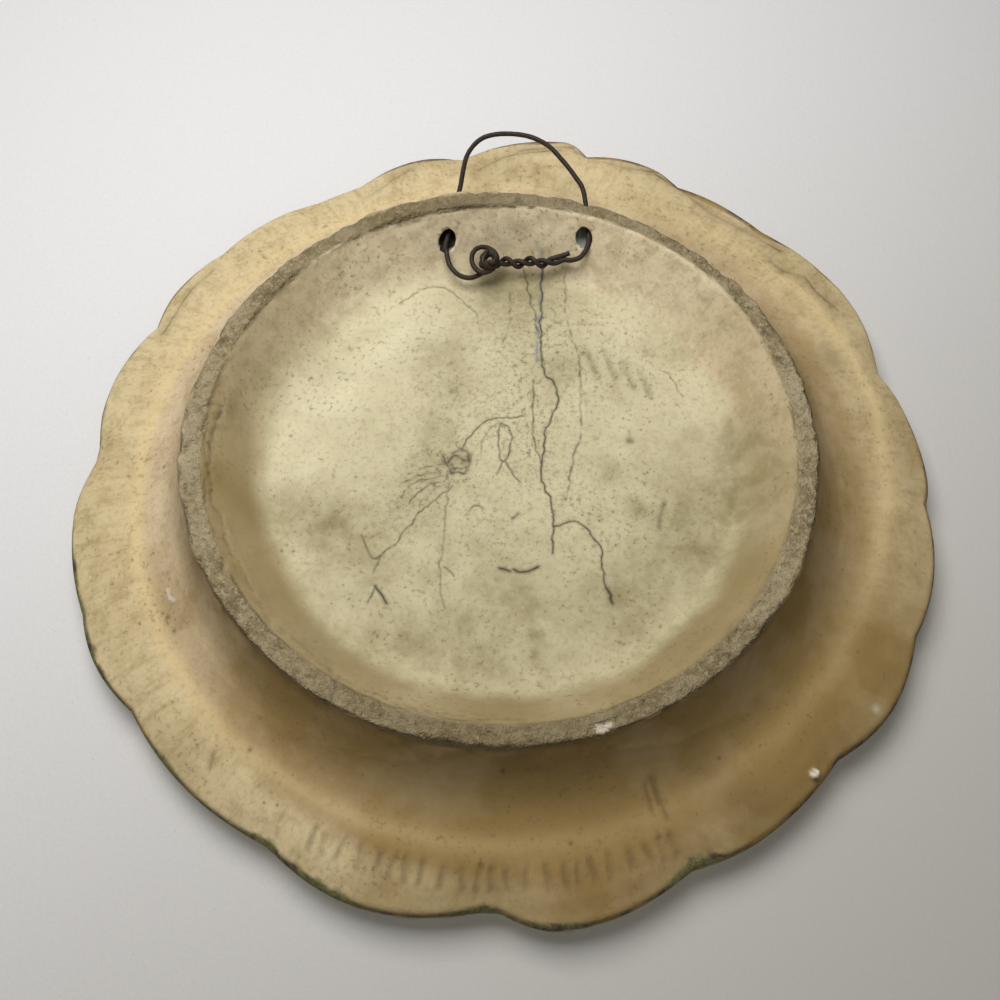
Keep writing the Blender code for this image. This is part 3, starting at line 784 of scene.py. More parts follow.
def relief(points, zone):
    """Height in mm of the back's own unevenness, chips, folds and impressed strokes."""
    outside = 1.0 - np.maximum(zone["floor"], zone["land"])
    height = zone["floor"] * (FLOOR_LUMPS * rough(points, 19.0, 2) + 0.20 * noise(points, 6.0, 5))
    height -= 1.1 * patches(points, STAINS[:4])
    height += outside * (0.46 * rough(points, 26.0, 2, 9) + 0.15 * noise(points, 8.0, 6))
    height += 0.05 * noise(points, 1.9, 3)
    height -= zone["land"] * (0.25 + 0.30 * rough(points, 3.4, 3, 21) + 0.7 * land_pits(points))
    for line, width in grooves():
        away = distance(points, line)
        height -= STROKE_DEPTH * np.exp(-((away / width) ** 2))
        height += 0.10 * np.exp(-(((away - 1.7 * width) / (0.7 * width)) ** 2))
    for line in SCRATCHES:
        height -= 0.30 * line_mark(points, line, STROKE_WIDTH)
    height -= 0.5 * spot(points, FLOOR_DOT, 1.0)
    for line, step, _ in FOLDS:
        side, within = side_of(points, line)
        height -= step * within * smooth(-0.4, 0.9, side) * (1.0 - smooth(5.0, 10.0, side))
        height -= 0.4 * line_mark(points, through(line, 2.0), 0.7)
    height -= 0.22 * line_mark(points, wiggled(LEDGE), 0.5)
    height -= 0.25 * line_mark(points, FLAKE, 0.7) + 0.3 * line_mark(points, COVE_CUT, 0.6)
    height -= 0.8 * foot_chip(points)
    height += 1.8 * rim_lump(points)
    height += 0.3 * line_mark(points, NICK, 0.5)
    return height


def lifted(places):
    """Plate coordinates of the back's points, with their masks."""
    length = np.hypot(*places.T)
    angle = angle_of(places)
    radius, out, normal_run, normal_out = section_frame(length)
    far, high = shaped(angle, radius, out)
    points = np.column_stack((around(angle, far), high))
    near_land = smooth(78.0, 82.0, radius) * (1.0 - smooth(91.0, 94.0, radius))
    ragged = near_land * (0.55 * rough(points, 5.0, 3, 24) + 0.5 * noise(points, 17.0, 27))
    narrowed = LAND_NARROWING * by_angle(angle, LAND_SIDES)
    zone = zones(radius + 1.3 * ragged, narrowed)
    uneven = radius + 1.6 * rough(points, 16.0, 3, 37) - FLOOR_REACH * by_angle(angle, FLOOR_SIDES)
    zone["floor"] = zones(uneven)["floor"]
    # A ring along the corner between the floor and the wall, where shade is painted
    zone["border"] = np.exp(-(((uneven - 71.6) / 3.2) ** 2))
    shifted = radius - low_shift(points) + 1.2 * noise(points, 14.0, 29)
    # Painted shadow lines along the land's edges
    zone["land_lines"] = land_lines(points, radius, narrowed)
    zone["band"] = smooth(FOOT_RADIUS + 0.75 * COVE_RUN, FOOT_RADIUS + 1.15 * COVE_RUN, shifted)
    points[:, :2] += around(angle, ragged)
    fade = 1.0 - smooth(rings()[1] - 2.0, rings()[1], length)
    height = relief(points, zone) * fade
    points += np.column_stack((around(angle, normal_run), normal_out)) * height[:, None]
    points[:, 2] = np.minimum(points[:, 2], 0.0)
    return points, zone


# Front


def front_points(rim_angles):
    """Rings of the front from the rim's edge to the middle of the well, with the leaf masks."""
    section = front_section()
    bead_edge = WELL_RADIUS + BEAD_WIDTH
    rings_made, leaf, across = [], [], []
    for radius, out in section:
        far, high = shaped(rim_angles, np.full_like(rim_angles, radius), np.full_like(rim_angles, out))
        high = high - leaf_relief(rim_angles, radius) * (1.0 if radius > bead_edge else 0.0)
        ring = np.column_stack((around(rim_angles, far), high))
        amount = 0.25 if radius > WELL_RADIUS else 0.12
        ring[:, 2] -= amount * rough(ring, 12.0, 3, 31)
        rings_made.append(ring)
        on_leaf = float(smooth(bead_edge, bead_edge + 2.0, radius))
        leaf.append(np.full(len(rim_angles), on_leaf))
        across.append(place_in_leaf(rim_angles))
    return rings_made, leaf, across


# Attributes that the materials read


def line_masks(points):
    """Each crack or drawn line, with its gaps."""
    gaps = 0.5 + 0.9 * noise(points, 1.1, 12)
    layers = []
    for line, width, dark, broken in drawn_lines():
        strength = dark * np.clip(1.0 - broken * (1.0 - gaps), 0.0, 1.0)
        layers.append(strength * line_mark(points, line, width))
    return layers


def dirt_and_shade_masks(points):
    """Dirt in the strokes, scratches and small spots, and painted shade along the folds."""
    how_strong = np.clip(0.9 + 0.8 * noise(points, 2.4, 16), 0.3, 1.4)
    soft = np.clip(0.75 + 0.6 * noise(points, 6.0, 15), 0.2, 1.0)
    layers = [0.42 * how_strong * line_mark(points, line, 1.15 * width) for line, width in grooves()]
    layers += [0.55 * line_mark(points, line, 0.55) for line in SCRATCHES + (COVE_CUT,)]
    # Painted shade along each fold: a dark line in the crease and a soft band beside it
    for line, _, dark in FOLDS:
        curve = through(line, 2.0)
        layers.append(dark * soft * line_mark(points, curve, 0.65))
        layers.append(0.45 * dark * soft * line_mark(points, curve, 2.4))
    layers += [0.8 * spot(points, (right, up), size) for right, up, size in DARK_SPOTS]
    return layers + [0.6 * line_mark(points, FLAKE, 0.8)]


def white_masks(points):
    """Fresh white plaster in the chips and the nick."""
    layers = [0.75 * foot_chip(points), rim_lump(points), 0.8 * line_mark(points, NICK, 0.45)]
    return layers + [0.5 * spot(points, RIM_CHIP, 1.2)]


def back_masks(points, zone):
    uneven = np.clip(0.7 + 0.7 * noise(points, 2.0, 14), 0.0, 1.0)
    masks = {
        "lines": np.maximum.reduce(line_masks(points)),
        "blue": 0.8 * line_mark(points, through(BLUE_STREAK, 2.0), 0.7) * uneven,
        "dirt_and_shade": np.clip(np.maximum.reduce(dirt_and_shade_masks(points) + [zone["land_lines"]]), 0.0, 1.0),
        "white": np.maximum.reduce(white_masks(points)),
        "stain_and_corner_shade": stains_and_corner_shade(points, zone),
        "pits": zone["land"] * land_pits(points),
        "land_shade": by_angle(angle_of(points), LAND_DARK_SIDES),
        "pale": patches(points, PALE_AND_LIT_PATCHES),
        "speckled": patches(points, SPECKLED),
        "tan_and_shade": tan_and_shade_mask(points),
        "moss": moss_mask(points),
        "ridge_highlight": ridge_highlight_mask(points),
    }
    masks.update({part: zone[part] for part in ("land", "floor", "cove", "edge", "band")})
    return masks


def low_shift(points):
    """How much further out, in mm, the dark cove, brown with painted shade, reaches along the bottom."""
    angle = angle_of(points)
    return COVE_SINK * by_angle(angle, COVE_SINK_SIDES)


def by_angle(angle, sides):
    clear = np.ones(len(angle))
    for middle, half, strength in sides:
        clear *= 1.0 - strength * np.exp(-((turn_between(middle, angle) / half) ** 2))
    return 1.0 - clear


def tan_and_shade_mask(points):
    """How brown the wall, the cove and the band are by their side of the plate: partly their own tan, partly
    painted shade on the sides away from the light.
    """
    angle = angle_of(points) + 14.0 * rough(points, 34.0, 2, 33)
    radius = radius_of(points)
    wall = by_angle(angle, WALL_TAN_AND_SHADE_SIDES)
    cove = by_angle(angle, COVE_TAN_AND_SHADE_SIDES)
    band = by_angle(angle, BAND_TAN_AND_SHADE_SIDES)
    in_cove = smooth(FOOT_RADIUS - 2.0, FOOT_RADIUS + 1.0, radius)
    on_band = smooth(106.0, 112.0, radius - low_shift(points))
    return wall * (1.0 - in_cove) + in_cove * (cove * (1.0 - on_band) + band * on_band)


def moss_mask(points):
    angle = angle_of(points)
    radius = radius_of(points)
    rim = RIM_RADIUS + leaf_reach(angle)
    amount = by_angle(angle, MOSS)
    reach = 2.9 * amount - 0.1 + 1.3 * amount * rough(points, 4.0, 3, 18)
    return smooth(-0.5, 0.5, radius - rim + reach) * smooth(0.05, 0.25, amount)


def stains_and_corner_shade(points, zone):
    """Soft stains, with a little more dirt in the hollows of the lumpy floor and painted shade along the
    corner where the floor meets the wall.
    """
    hollow = np.clip(-rough(points, 19.0, 2) - 0.15, 0.0, 1.0) * zone["floor"]
    angle = angle_of(points)
    # Painted shade along the corner where the floor meets the wall, on the left and lower sides
    border = zone["border"] * by_angle(angle, CORNER_SHADE_SIDES)
    border *= np.clip(0.7 + 0.8 * noise(points, 9.0, 39), 0.0, 1.0)
    return 1.0 - (1.0 - patches(points, STAINS)) * (1.0 - 0.45 * hollow) * (1.0 - border)


def land_lines(points, radius, narrowed):
    """Dark broken lines along both edges of the land: painted shadow lines."""
    gaps = np.clip(0.55 + 0.9 * noise(points, 7.0, 19), 0.0, 1.0)
    inner = np.exp(-(((radius - FOOT_RADIUS + LAND_WIDTH + 0.4 - narrowed) / 0.42) ** 2))
    outer = np.exp(-(((radius - FOOT_RADIUS - 0.7) / 0.45) ** 2))
    return 0.65 * gaps * np.maximum(inner, outer)


def ridge_highlight_mask(points):
    """A painted highlight along the ridge between the cove and the band, where it catches the light,
    strongest at the left and faint all round.
    """
    angle = angle_of(points)
    radius = radius_of(points) + 0.8 * rough(points, 9.0, 2, 51)
    middle = RIDGE_RADIUS + RIDGE_BULGE * by_angle(angle, RIDGE_BULGE_SIDES)
    how_strong = 0.10 + by_angle(angle, RIDGE_HIGHLIGHT_SIDES)
    return how_strong * np.exp(-(((radius - middle) / 2.6) ** 2))


def float_attribute(mesh, name, values):
    made = mesh.attributes.new(name, "FLOAT", "POINT")
    made.data.foreach_set("value", np.asarray(values, np.float32))


def polar_attribute(mesh, points):
    """Direction and distance from the middle, for streaks that run out or round the plate."""
    angle = np.arctan2(points[:, 1], points[:, 0])
    polar = np.column_stack((np.cos(angle), np.sin(angle), radius_of(points) / STREAK_LENGTH))
    made = mesh.attributes.new("polar", "FLOAT_VECTOR", "POINT")
    made.data.foreach_set("vector", polar.astype(np.float32).ravel())


def new_mesh(name, places, faces):
    made = bpy.data.meshes.new(name)
    made.from_pydata([tuple(place) for place in places], [], faces)
    made.update()
    return made


def plate_mesh():
    """One closed mesh: the finely marked back, the rim's edge and the carved front."""
    places, faces = back_mesh()
    points, zone = lifted(places)
    masks = back_masks(points, zone)
    total = rings()[1]
    length = np.hypot(*places.T)
    angle = angle_of(places) % 360.0
    rim = [index for index in range(len(places)) if length[index] > total - 1e-4]
    rim.sort(key=lambda index: angle[index])
    made, leaf, across = front_points(angle[rim])
    count, start = len(rim), len(points)
    rows = [rim]
    for ring in range(len(made)):
        rows.append(list(range(start + ring * count, start + (ring + 1) * count)))
    for outer, inner in zip(rows[:-1], rows[1:]):
        for here in range(count):
            ahead = (here + 1) % count
            faces.append((outer[ahead], outer[here], inner[here], inner[ahead]))
    middle = start + len(made) * count
    for here in range(count):
        faces.append((rows[-1][(here + 1) % count], rows[-1][here], middle))
    well = -RECESS_DEPTH - PANEL_THICKNESS
    everything = np.vstack([points] + made + [np.array([[0.0, 0.0, well]])])
    extra = len(everything) - start
    mesh = new_mesh("plate_skin", to_frame(everything), faces)
    for name, values in masks.items():
        float_attribute(mesh, name, np.concatenate((values, np.zeros(extra))))
    polar_attribute(mesh, everything)
    middle_value = [np.zeros(1)]
    fronts = {"front": [np.ones(extra)], "leaf": leaf + middle_value, "across": across + middle_value}
    for name, values in fronts.items():
        float_attribute(mesh, name, np.concatenate([np.zeros(start)] + values))
    return mesh


def turn_faces_out(mesh):
    """Flips every face if the closed mesh is inside out."""
    volume = 0.0
    mesh.calc_loop_triangles()
    for triangle in mesh.loop_triangles:
        a, b, c = (mesh.vertices[index].co for index in triangle.vertices)
        volume += a.dot(b.cross(c))
    if volume < 0.0:
        mesh.flip_normals()


# Materials


class Nodes:
    """Short calls for building one material's node tree."""

    def __init__(self, name):
        self.material = bpy.data.materials.new(name)
        self.material.use_nodes = True
        self.tree = self.material.node_tree
        self.shader = self.tree.nodes["Principled BSDF"]

    def link(self, value, socket):
        if hasattr(value, "is_output"):
            self.tree.links.new(value, socket)
        else:
            socket.default_value = value

    def node(self, kind, inputs=None, **settings):
        made = self.tree.nodes.new(kind)
        for name, value in settings.items():
            setattr(made, name, value)
        return self.fill(made, inputs or {})

    def fill(self, made, inputs):
        for name, value in inputs.items():
            self.link(value, made.inputs[name])
        return made

    def surface(self, inputs):
        """Fills in the shader and gives back the material."""
        self.fill(self.shader, inputs)
        return self.material

    def position(self):
        return self.node("ShaderNodeTexCoord").outputs["Object"]

    def attribute(self, name):
        return self.node("ShaderNodeAttribute", attribute_name=name).outputs["Fac"]

    def noise(self, scale, detail=4.0, roughness=0.55, place=None):
        place = place or self.position()
        inputs = {"Vector": place, "Scale": scale, "Detail": detail, "Roughness": roughness}
        return self.node("ShaderNodeTexNoise", inputs).outputs["Fac"]

    def polar(self):
        return self.node("ShaderNodeAttribute", attribute_name="polar").outputs["Vector"]

    def parts(self, value):
        return self.node("ShaderNodeSeparateXYZ", {"Vector": value}).outputs

    def streaks(self, scale):
        """Noise drawn out from the plate's middle towards its rim."""
        return self.noise(scale, 4.0, 0.6, self.polar())

    def dots(self, scale, size, share):
        """Scattered dots: cells per metre, dot size in cells and the share of cells that have one."""
        cells = self.node("ShaderNodeTexVoronoi", {"Vector": self.position(), "Scale": scale}).outputs
        colours = self.node("ShaderNodeSeparateColor", {"Color": cells["Color"]}).outputs
        chosen = self.math("LESS_THAN", colours["Red"], share)
        return self.times(self.ramp(cells["Distance"], 0.5 * size, size, 1.0, 0.0), chosen)

    def ramp(self, value, low, high, start=0.0, end=1.0):
        inputs = {"Value": value, "From Min": low, "From Max": high, "To Min": start, "To Max": end}
        return self.node("ShaderNodeMapRange", inputs, interpolation_type="SMOOTHSTEP").outputs["Result"]

    def math(self, operation, first, second=0.0, clamp=False):
        inputs = {0: first, 1: second}
        return self.node("ShaderNodeMath", inputs, operation=operation, use_clamp=clamp).outputs["Value"]

    def times(self, first, second):
        return self.math("MULTIPLY", first, second)

    def mix(self, share, first, second):
        made = self.node("ShaderNodeMix", {"Factor": share}, data_type="RGBA")
        for value, socket in ((first, made.inputs[6]), (second, made.inputs[7])):
            self.link(value if hasattr(value, "is_output") else (*value, 1.0), socket)
        return made.outputs[2]

    def tint(self, body, name, strength, colour):
        """Lays a colour over what is below, by a mask of the mesh."""
        share = self.attribute(name)
        if strength != 1.0:
            share = self.times(share, strength)
        return self.mix(share, body, colour)

    def veil(self, body, value, low, high, strength, colour):
        """Lays a colour over what is below, where a noise runs from low to high."""
        return self.mix(self.ramp(value, low, high, 0.0, strength), body, colour)

    def bump(self, height, strength, distance, below=None):
        inputs = {"Height": height, "Strength": strength, "Distance": distance}
        if below:
            inputs["Normal"] = below
        return self.node("ShaderNodeBump", inputs).outputs["Normal"]


# Colours of the bare plaster's parts, of its marks and of the painted front; some are lit or shaded copies
# that stand in for light and shade
FLOOR_CREAM = (0.67, 0.61, 0.4)
FLOOR_OLIVE = (0.49, 0.43, 0.245)
# Stain colour, also painted shade in the corner at the floor's edge
FLOOR_STAIN_AND_SHADE = (0.27, 0.225, 0.105)
# Pale floor, partly painted light
FLOOR_PALE_AND_LIT = (0.81, 0.75, 0.52)
# The wall's pale cream stands in for light on its lit upper side, its tan carries painted shade on the other
# sides
WALL_LIT_CREAM = (0.80, 0.68, 0.47)
WALL_TAN_AND_SHADE = (0.315, 0.232, 0.103)
COVE_PINK = (0.68, 0.545, 0.365)
# The cove's and the band's browns carry painted shade on the sides away from the light as well as their tan
COVE_BROWN_AND_SHADE = (0.33, 0.22, 0.08)
BAND_CREAM = (0.70, 0.575, 0.34)
BAND_TAN_AND_SHADE = (0.295, 0.195, 0.068)
# Painted highlight on the ridge
RIDGE_HIGHLIGHT = (0.79, 0.62, 0.335)
LAND_TAN = (0.34, 0.27, 0.155)
LAND_DARK = (0.17, 0.13, 0.065)
LAND_PALE = (0.58, 0.50, 0.335)
# Grime, also the colour of the painted shade along the folds and the land's edges
GRIME_AND_SHADE = (0.13, 0.09, 0.045)
LINE_GREY = (0.045, 0.038, 0.03)
STREAK_BLUE = (0.20, 0.225, 0.245)
CHIP_WHITE = (0.76, 0.71, 0.58)
MOSS_GREEN = (0.13, 0.125, 0.05)
MOSS_OLIVE = (0.24, 0.22, 0.09)
EDGE_BROWN = (0.085, 0.055, 0.045)
LEAF_GREEN = (0.125, 0.125, 0.045)
LEAF_OCHRE = (0.31, 0.19, 0.07)
LEAF_DARK = (0.065, 0.075, 0.030)
WELL_TAN = (0.42, 0.31, 0.16)
LEAF_BROWN = (0.11, 0.058, 0.026)
WELL_CREAM = (0.66, 0.57, 0.39)
# Painted shade inside the wire holes
HOLE_SHADE_DARK = (0.035, 0.030, 0.022)
HOLE_SHADE_GREY = (0.26, 0.27, 0.235)
IRON_DARK = (0.020, 0.016, 0.013)
IRON_RUST = (0.062, 0.034, 0.019)


def inside_colour(made, cloudy, mottled):
    """The floor and the sloping wall of the recess, the wall pale where it stands in for light and tan with
    painted shade on its other sides.
    """
    floor = made.veil(FLOOR_CREAM, mottled, 0.36, 0.74, 0.46, FLOOR_OLIVE)
    # Pale on the wall's lit side, tan with painted shade on the others
    wall = made.tint(WALL_LIT_CREAM, "tan_and_shade", 1.0, WALL_TAN_AND_SHADE)
    wall = made.veil(wall, mottled, 0.44, 0.62, 0.32, WALL_TAN_AND_SHADE)
    inside = made.mix(made.attribute("floor"), wall, floor)
    # Pale patches, partly painted light on the floor's lit left edge and lumps
    pale = made.times(made.attribute("pale"), made.ramp(cloudy, 0.30, 0.60, 0.35, 0.9))
    inside = made.mix(pale, inside, FLOOR_PALE_AND_LIT)
    uneven = made.ramp(mottled, 0.26, 0.72, 0.55, 1.1)
    # Stains, with painted shade in the corner at the floor's edge
    stain_and_corner_shade = made.math("MULTIPLY", made.attribute("stain_and_corner_shade"), uneven, clamp=True)
    return made.mix(stain_and_corner_shade, inside, FLOOR_STAIN_AND_SHADE)


def outside_colour(made, cloudy, mottled):
    """The cove and the rim's band, with short streaks running outwards, browner with painted shade on the
    sides away from the light and with a painted highlight on the ridge.
    """
    streaks = made.streaks(46.0)
    uneven = made.ramp(cloudy, 0.30, 0.70, -0.20, 0.20)
    # Browner towards the sides away from the light: own tan with painted shade
    tan_and_shade = made.math("ADD", made.attribute("tan_and_shade"), uneven, clamp=True)
    cove = made.mix(tan_and_shade, COVE_PINK, COVE_BROWN_AND_SHADE)
    band = made.mix(tan_and_shade, BAND_CREAM, BAND_TAN_AND_SHADE)
    band = made.veil(band, streaks, 0.48, 0.72, 0.34, BAND_TAN_AND_SHADE)
    outside = made.mix(made.attribute("band"), cove, band)
    outside = made.veil(outside, mottled, 0.46, 0.70, 0.36, COVE_BROWN_AND_SHADE)
    outside = made.tint(outside, "stain_and_corner_shade", 0.6, GRIME_AND_SHADE)
    # Painted highlight along the ridge
    return made.tint(outside, "ridge_highlight", 0.7, RIDGE_HIGHLIGHT)


def land_colour(made, cloudy, mottled, fine):
    """The gritty flat land that has rubbed on the wall."""
    land = made.veil(LAND_TAN, mottled, 0.42, 0.62, 0.7, LAND_DARK)
    land = made.veil(land, cloudy, 0.46, 0.66, 0.5, LAND_PALE)
    land = made.veil(land, fine, 0.50, 0.62, 0.70, LAND_PALE)
    land = made.tint(land, "land_shade", 0.65, LAND_DARK)
    land = made.tint(land, "pits", 0.8, LAND_DARK)
    return made.mix(made.ramp(fine, 0.36, 0.42, 0.6, 0.0), land, LAND_DARK)


def back_colour(made):
    """Aged bare plaster with its cracks, drawn lines, stains, chips and paint on the edge, and painted shade
    along the folds, the land's edges and the recess's corner.
    """
    cloudy = made.noise(38.0, 4.0, 0.6)
    mottled = made.noise(170.0, 5.0, 0.65)
    fine = made.noise(650.0, 4.0, 0.7)
    inside = inside_colour(made, cloudy, mottled)
    outside = outside_colour(made, cloudy, mottled)
    body = made.mix(made.attribute("cove"), inside, outside)
    body = made.mix(made.attribute("land"), body, land_colour(made, cloudy, mottled, fine))
    body = made.veil(body, fine, 0.46, 0.74, 0.38, WALL_TAN_AND_SHADE)
    smudge = made.times(made.ramp(cloudy, 0.42, 0.58), made.ramp(fine, 0.56, 0.68))
    body = made.mix(made.times(smudge, 0.45), body, GRIME_AND_SHADE)
    body = made.mix(made.times(made.dots(330.0, 0.14, 0.07), 0.45), body, GRIME_AND_SHADE)
    speckled = made.attribute("speckled")
    body = made.mix(made.times(speckled, made.ramp(fine, 0.42, 0.68, 0.0, 0.30)), body, LINE_GREY)
    many = made.dots(1250.0, 0.42, made.times(speckled, 0.24))
    body = made.mix(made.times(many, 0.38), body, LINE_GREY)
    # Dirt, with painted shade along the folds and the land's edges
    body = made.tint(body, "dirt_and_shade", 0.85, GRIME_AND_SHADE)
    body = made.tint(body, "blue", 1.0, STREAK_BLUE)
    body = made.tint(body, "lines", 1.0, LINE_GREY)
    body = made.tint(body, "white", 1.0, CHIP_WHITE)
    edge = made.mix(made.ramp(mottled, 0.42, 0.58), EDGE_BROWN, BAND_TAN_AND_SHADE)
    body = made.mix(made.attribute("edge"), body, edge)
    moss = made.mix(made.ramp(fine, 0.40, 0.62), MOSS_GREEN, MOSS_OLIVE)
    moss = made.mix(made.ramp(mottled, 0.52, 0.60), moss, EDGE_BROWN)
    return made.mix(made.attribute("moss"), body, moss)


def front_colour(made):
    """Painted leaves, ochre at their roots and olive green at their tips, round a cream well."""
    radius = made.times(made.parts(made.polar())["Z"], STREAK_LENGTH)
    soft = made.noise(28.0, 3.0, 0.6)
    mottled = made.noise(150.0, 3.0, 0.65)
    across = made.math("ABSOLUTE", made.attribute("across"))
    outwards = made.math("ADD", radius, made.ramp(soft, 0.3, 0.7, -14.0, 14.0))
    leaf = made.mix(made.ramp(outwards, 94.0, 120.0), LEAF_OCHRE, LEAF_GREEN)
    leaf = made.mix(made.ramp(made.streaks(60.0), 0.46, 0.66, 0.0, 0.45), leaf, LEAF_DARK)
    leaf = made.veil(leaf, across, 0.70, 1.0, 0.85, LEAF_BROWN)
    leaf = made.mix(made.ramp(across, 0.02, 0.10, 0.5, 0.0), leaf, LEAF_BROWN)
    leaf = made.veil(leaf, mottled, 0.52, 0.66, 0.35, LEAF_BROWN)
    well = made.veil(WELL_CREAM, soft, 0.36, 0.66, 0.30, WELL_TAN)
    well = made.veil(well, mottled, 0.50, 0.70, 0.22, WELL_TAN)
    well = made.veil(well, radius, 66.0, 86.0, 0.75, WELL_TAN)
    return made.mix(made.attribute("leaf"), well, leaf)


def plaster_material():
    made = Nodes("plaster")
    body = made.mix(made.attribute("front"), back_colour(made), front_colour(made))
    # Painted shade inside the wire holes: near black in the left bore, grey in the right one
    hole = made.attribute("hole")
    bore_shade = made.mix(made.ramp(hole, 0.75, 0.95), HOLE_SHADE_GREY, HOLE_SHADE_DARK)
    body = made.mix(made.ramp(hole, 0.3, 0.5), body, bore_shade)
    soft = made.bump(made.noise(230.0, 2.0, 0.6), 0.30, 0.0007)
    grain = made.bump(made.noise(1500.0, 1.0, 0.6), 0.30, 0.0002, soft)
    grit = made.times(made.noise(820.0, 2.0, 0.7), made.attribute("land"))
    inputs = {
        "Base Color": body,
        "Roughness": made.ramp(made.noise(160.0, 1.0), 0.3, 0.7, 0.72, 0.95),
        "Specular IOR Level": 0.25,
        "Normal": made.bump(grit, 0.9, 0.0016, grain),
    }
    return made.surface(inputs)


def wire_material():
    made = Nodes("iron_wire")
    patches = made.noise(500.0, 4.0)
    inputs = {
        "Base Color": made.mix(made.ramp(patches, 0.42, 0.66), IRON_DARK, IRON_RUST),
        "Roughness": made.ramp(patches, 0.35, 0.65, 0.42, 0.85),
        "Metallic": 0.35,
        "Normal": made.bump(made.noise(2500.0, 3.0), 0.5, 0.00015),
    }
    return made.surface(inputs)


# Stage

SHEET_PALE = (0.83, 0.825, 0.85)
# The sheet's painted shade towards the bottom right
SHEET_SHADED = (0.47, 0.455, 0.415)
SHEET_GREY = (0.45, 0.44, 0.44)
FLOOR_PAINT = (0.78, 0.77, 0.76)

# Half widths of the sheet and the floor, the sheet's gap before the plate and the floor's drop below it
SHEET_HALF = 0.9
FLOOR_HALF = 4.0
SHEET_GAP = 0.0012
FLOOR_DROP = 0.12

# Lights in the plate's coordinates: name, place, target, size in m, power in W and colour
LIGHTS = (
    ("window", (-105, 195, 510), (0, 10, -20), 0.42, 3.1, (1.0, 0.985, 0.95)),
    ("near_fill", (40, -420, 380), (0, 0, -20), 0.5, 1.3, (1.0, 0.97, 0.92)),
    ("front_fill", (-500, 350, -900), (0, 0, -20), 0.9, 11.0, (1.0, 1.0, 1.0)),
    ("front_key", (600, 500, -700), (0, 0, -20), 0.5, 9.0, (1.0, 1.0, 1.0)),
)
ROOM_COLOUR = (1.0, 0.98, 0.94)
ROOM_STRENGTH = 0.12


def sheet_material():
    """The pale sheet that the plate lies on: seen from its own side, and clear from behind."""
    made = Nodes("pale_sheet")
    parts = made.parts(made.position())
    # Painted shade: the sheet darkens towards the bottom right, where the light falls off
    shade_falloff = made.math("SUBTRACT", made.times(parts["X"], -0.7), parts["Z"])
    paper = made.mix(made.ramp(shade_falloff, -0.08, 0.46), SHEET_PALE, SHEET_SHADED)
    paper = made.mix(made.ramp(made.noise(700.0, 1.0), 0.35, 0.75, 0.0, 0.06), paper, SHEET_GREY)
    paper = made.mix(made.times(made.dots(240.0, 0.10, 0.30), 0.25), paper, SHEET_GREY)
    grain = made.bump(made.noise(900.0, 1.0), 0.25, 0.0004)
    behind = made.node("ShaderNodeNewGeometry").outputs["Backfacing"]
    clear = made.node("ShaderNodeBsdfTransparent").outputs["BSDF"]
    mixed = made.node("ShaderNodeMixShader", {0: behind, 1: made.shader.outputs["BSDF"], 2: clear})
    made.link(mixed.outputs["Shader"], made.tree.nodes["Material Output"].inputs["Surface"])
    return made.surface({"Base Color": paper, "Roughness": 0.9, "Normal": grain})


def add_object(name, data):
    """Puts a mesh, light or camera into the scene."""
    made = bpy.data.objects.new(name, data)
    bpy.context.scene.collection.objects.link(made)
    return made


def plane(name, middle, first, second, material):
    """A plane from its middle and two half sides, that faces first cross second."""
    corners = [middle - first - second, middle + first - second, middle + first + second]
    mesh = new_mesh(name, corners + [middle - first + second], [(0, 1, 2, 3)])
    mesh.materials.append(material)
    made = add_object(name, mesh)
    return made


def build_stage():
    low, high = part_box("plate")
    middle = (low + high) / 2.0
    middle.y = low.y - SHEET_GAP
    side, depth, rise = Matrix.Identity(3)
    sheet = plane("pale_sheet", middle, rise * SHEET_HALF, side * SHEET_HALF, sheet_material())
    sheet.visible_shadow = False
    sheet.visible_diffuse = False
    sheet.visible_glossy = False
    paint = Nodes("pale_floor").surface({"Base Color": (*FLOOR_PAINT, 1.0), "Roughness": 0.9})
    middle = Vector((0.0, 0.0, low.z - FLOOR_DROP))
    floor = plane("pale_floor", middle, side * FLOOR_HALF, depth * FLOOR_HALF, paint)
    floor.visible_diffuse = False


def area_light(name, place, target, size, power, colour):
    light = bpy.data.lights.new(name, "AREA")
    light.size = size
    light.energy = power
    light.color = colour
    made = add_object(name, light)
    made.location = Vector(to_frame(place)[0])
    aim = Vector(to_frame(target)[0]) - made.location
    made.rotation_euler = aim.to_track_quat("-Z", "Y").to_euler()


def build_lights():
    for light in LIGHTS:
        area_light(*light)
    world = bpy.data.worlds.new("pale_room")
    world.use_nodes = True
    background = world.node_tree.nodes["Background"]
    background.inputs["Color"].default_value = (*ROOM_COLOUR, 1.0)
    background.inputs["Strength"].default_value = ROOM_STRENGTH
    bpy.context.scene.world = world


def build_camera():
    data = bpy.data.cameras.new("camera")
    data.lens = CAMERA_LENS
    data.sensor_width = CAMERA_SENSOR
    data.clip_start = 0.01
    camera = add_object("camera", data)
    right = direction_in_frame(CAMERA_RIGHT)
    up = direction_in_frame(CAMERA_UP)
    back = right.cross(up).normalized()
    up = back.cross(right)
    turn = Matrix((right, up, back)).transposed().to_4x4()
    camera.matrix_world = Matrix.Translation(Vector(to_frame(CAMERA_PLACE)[0])) @ turn
    bpy.context.scene.camera = camera
    bpy.context.scene.view_settings.view_transform = "Standard"


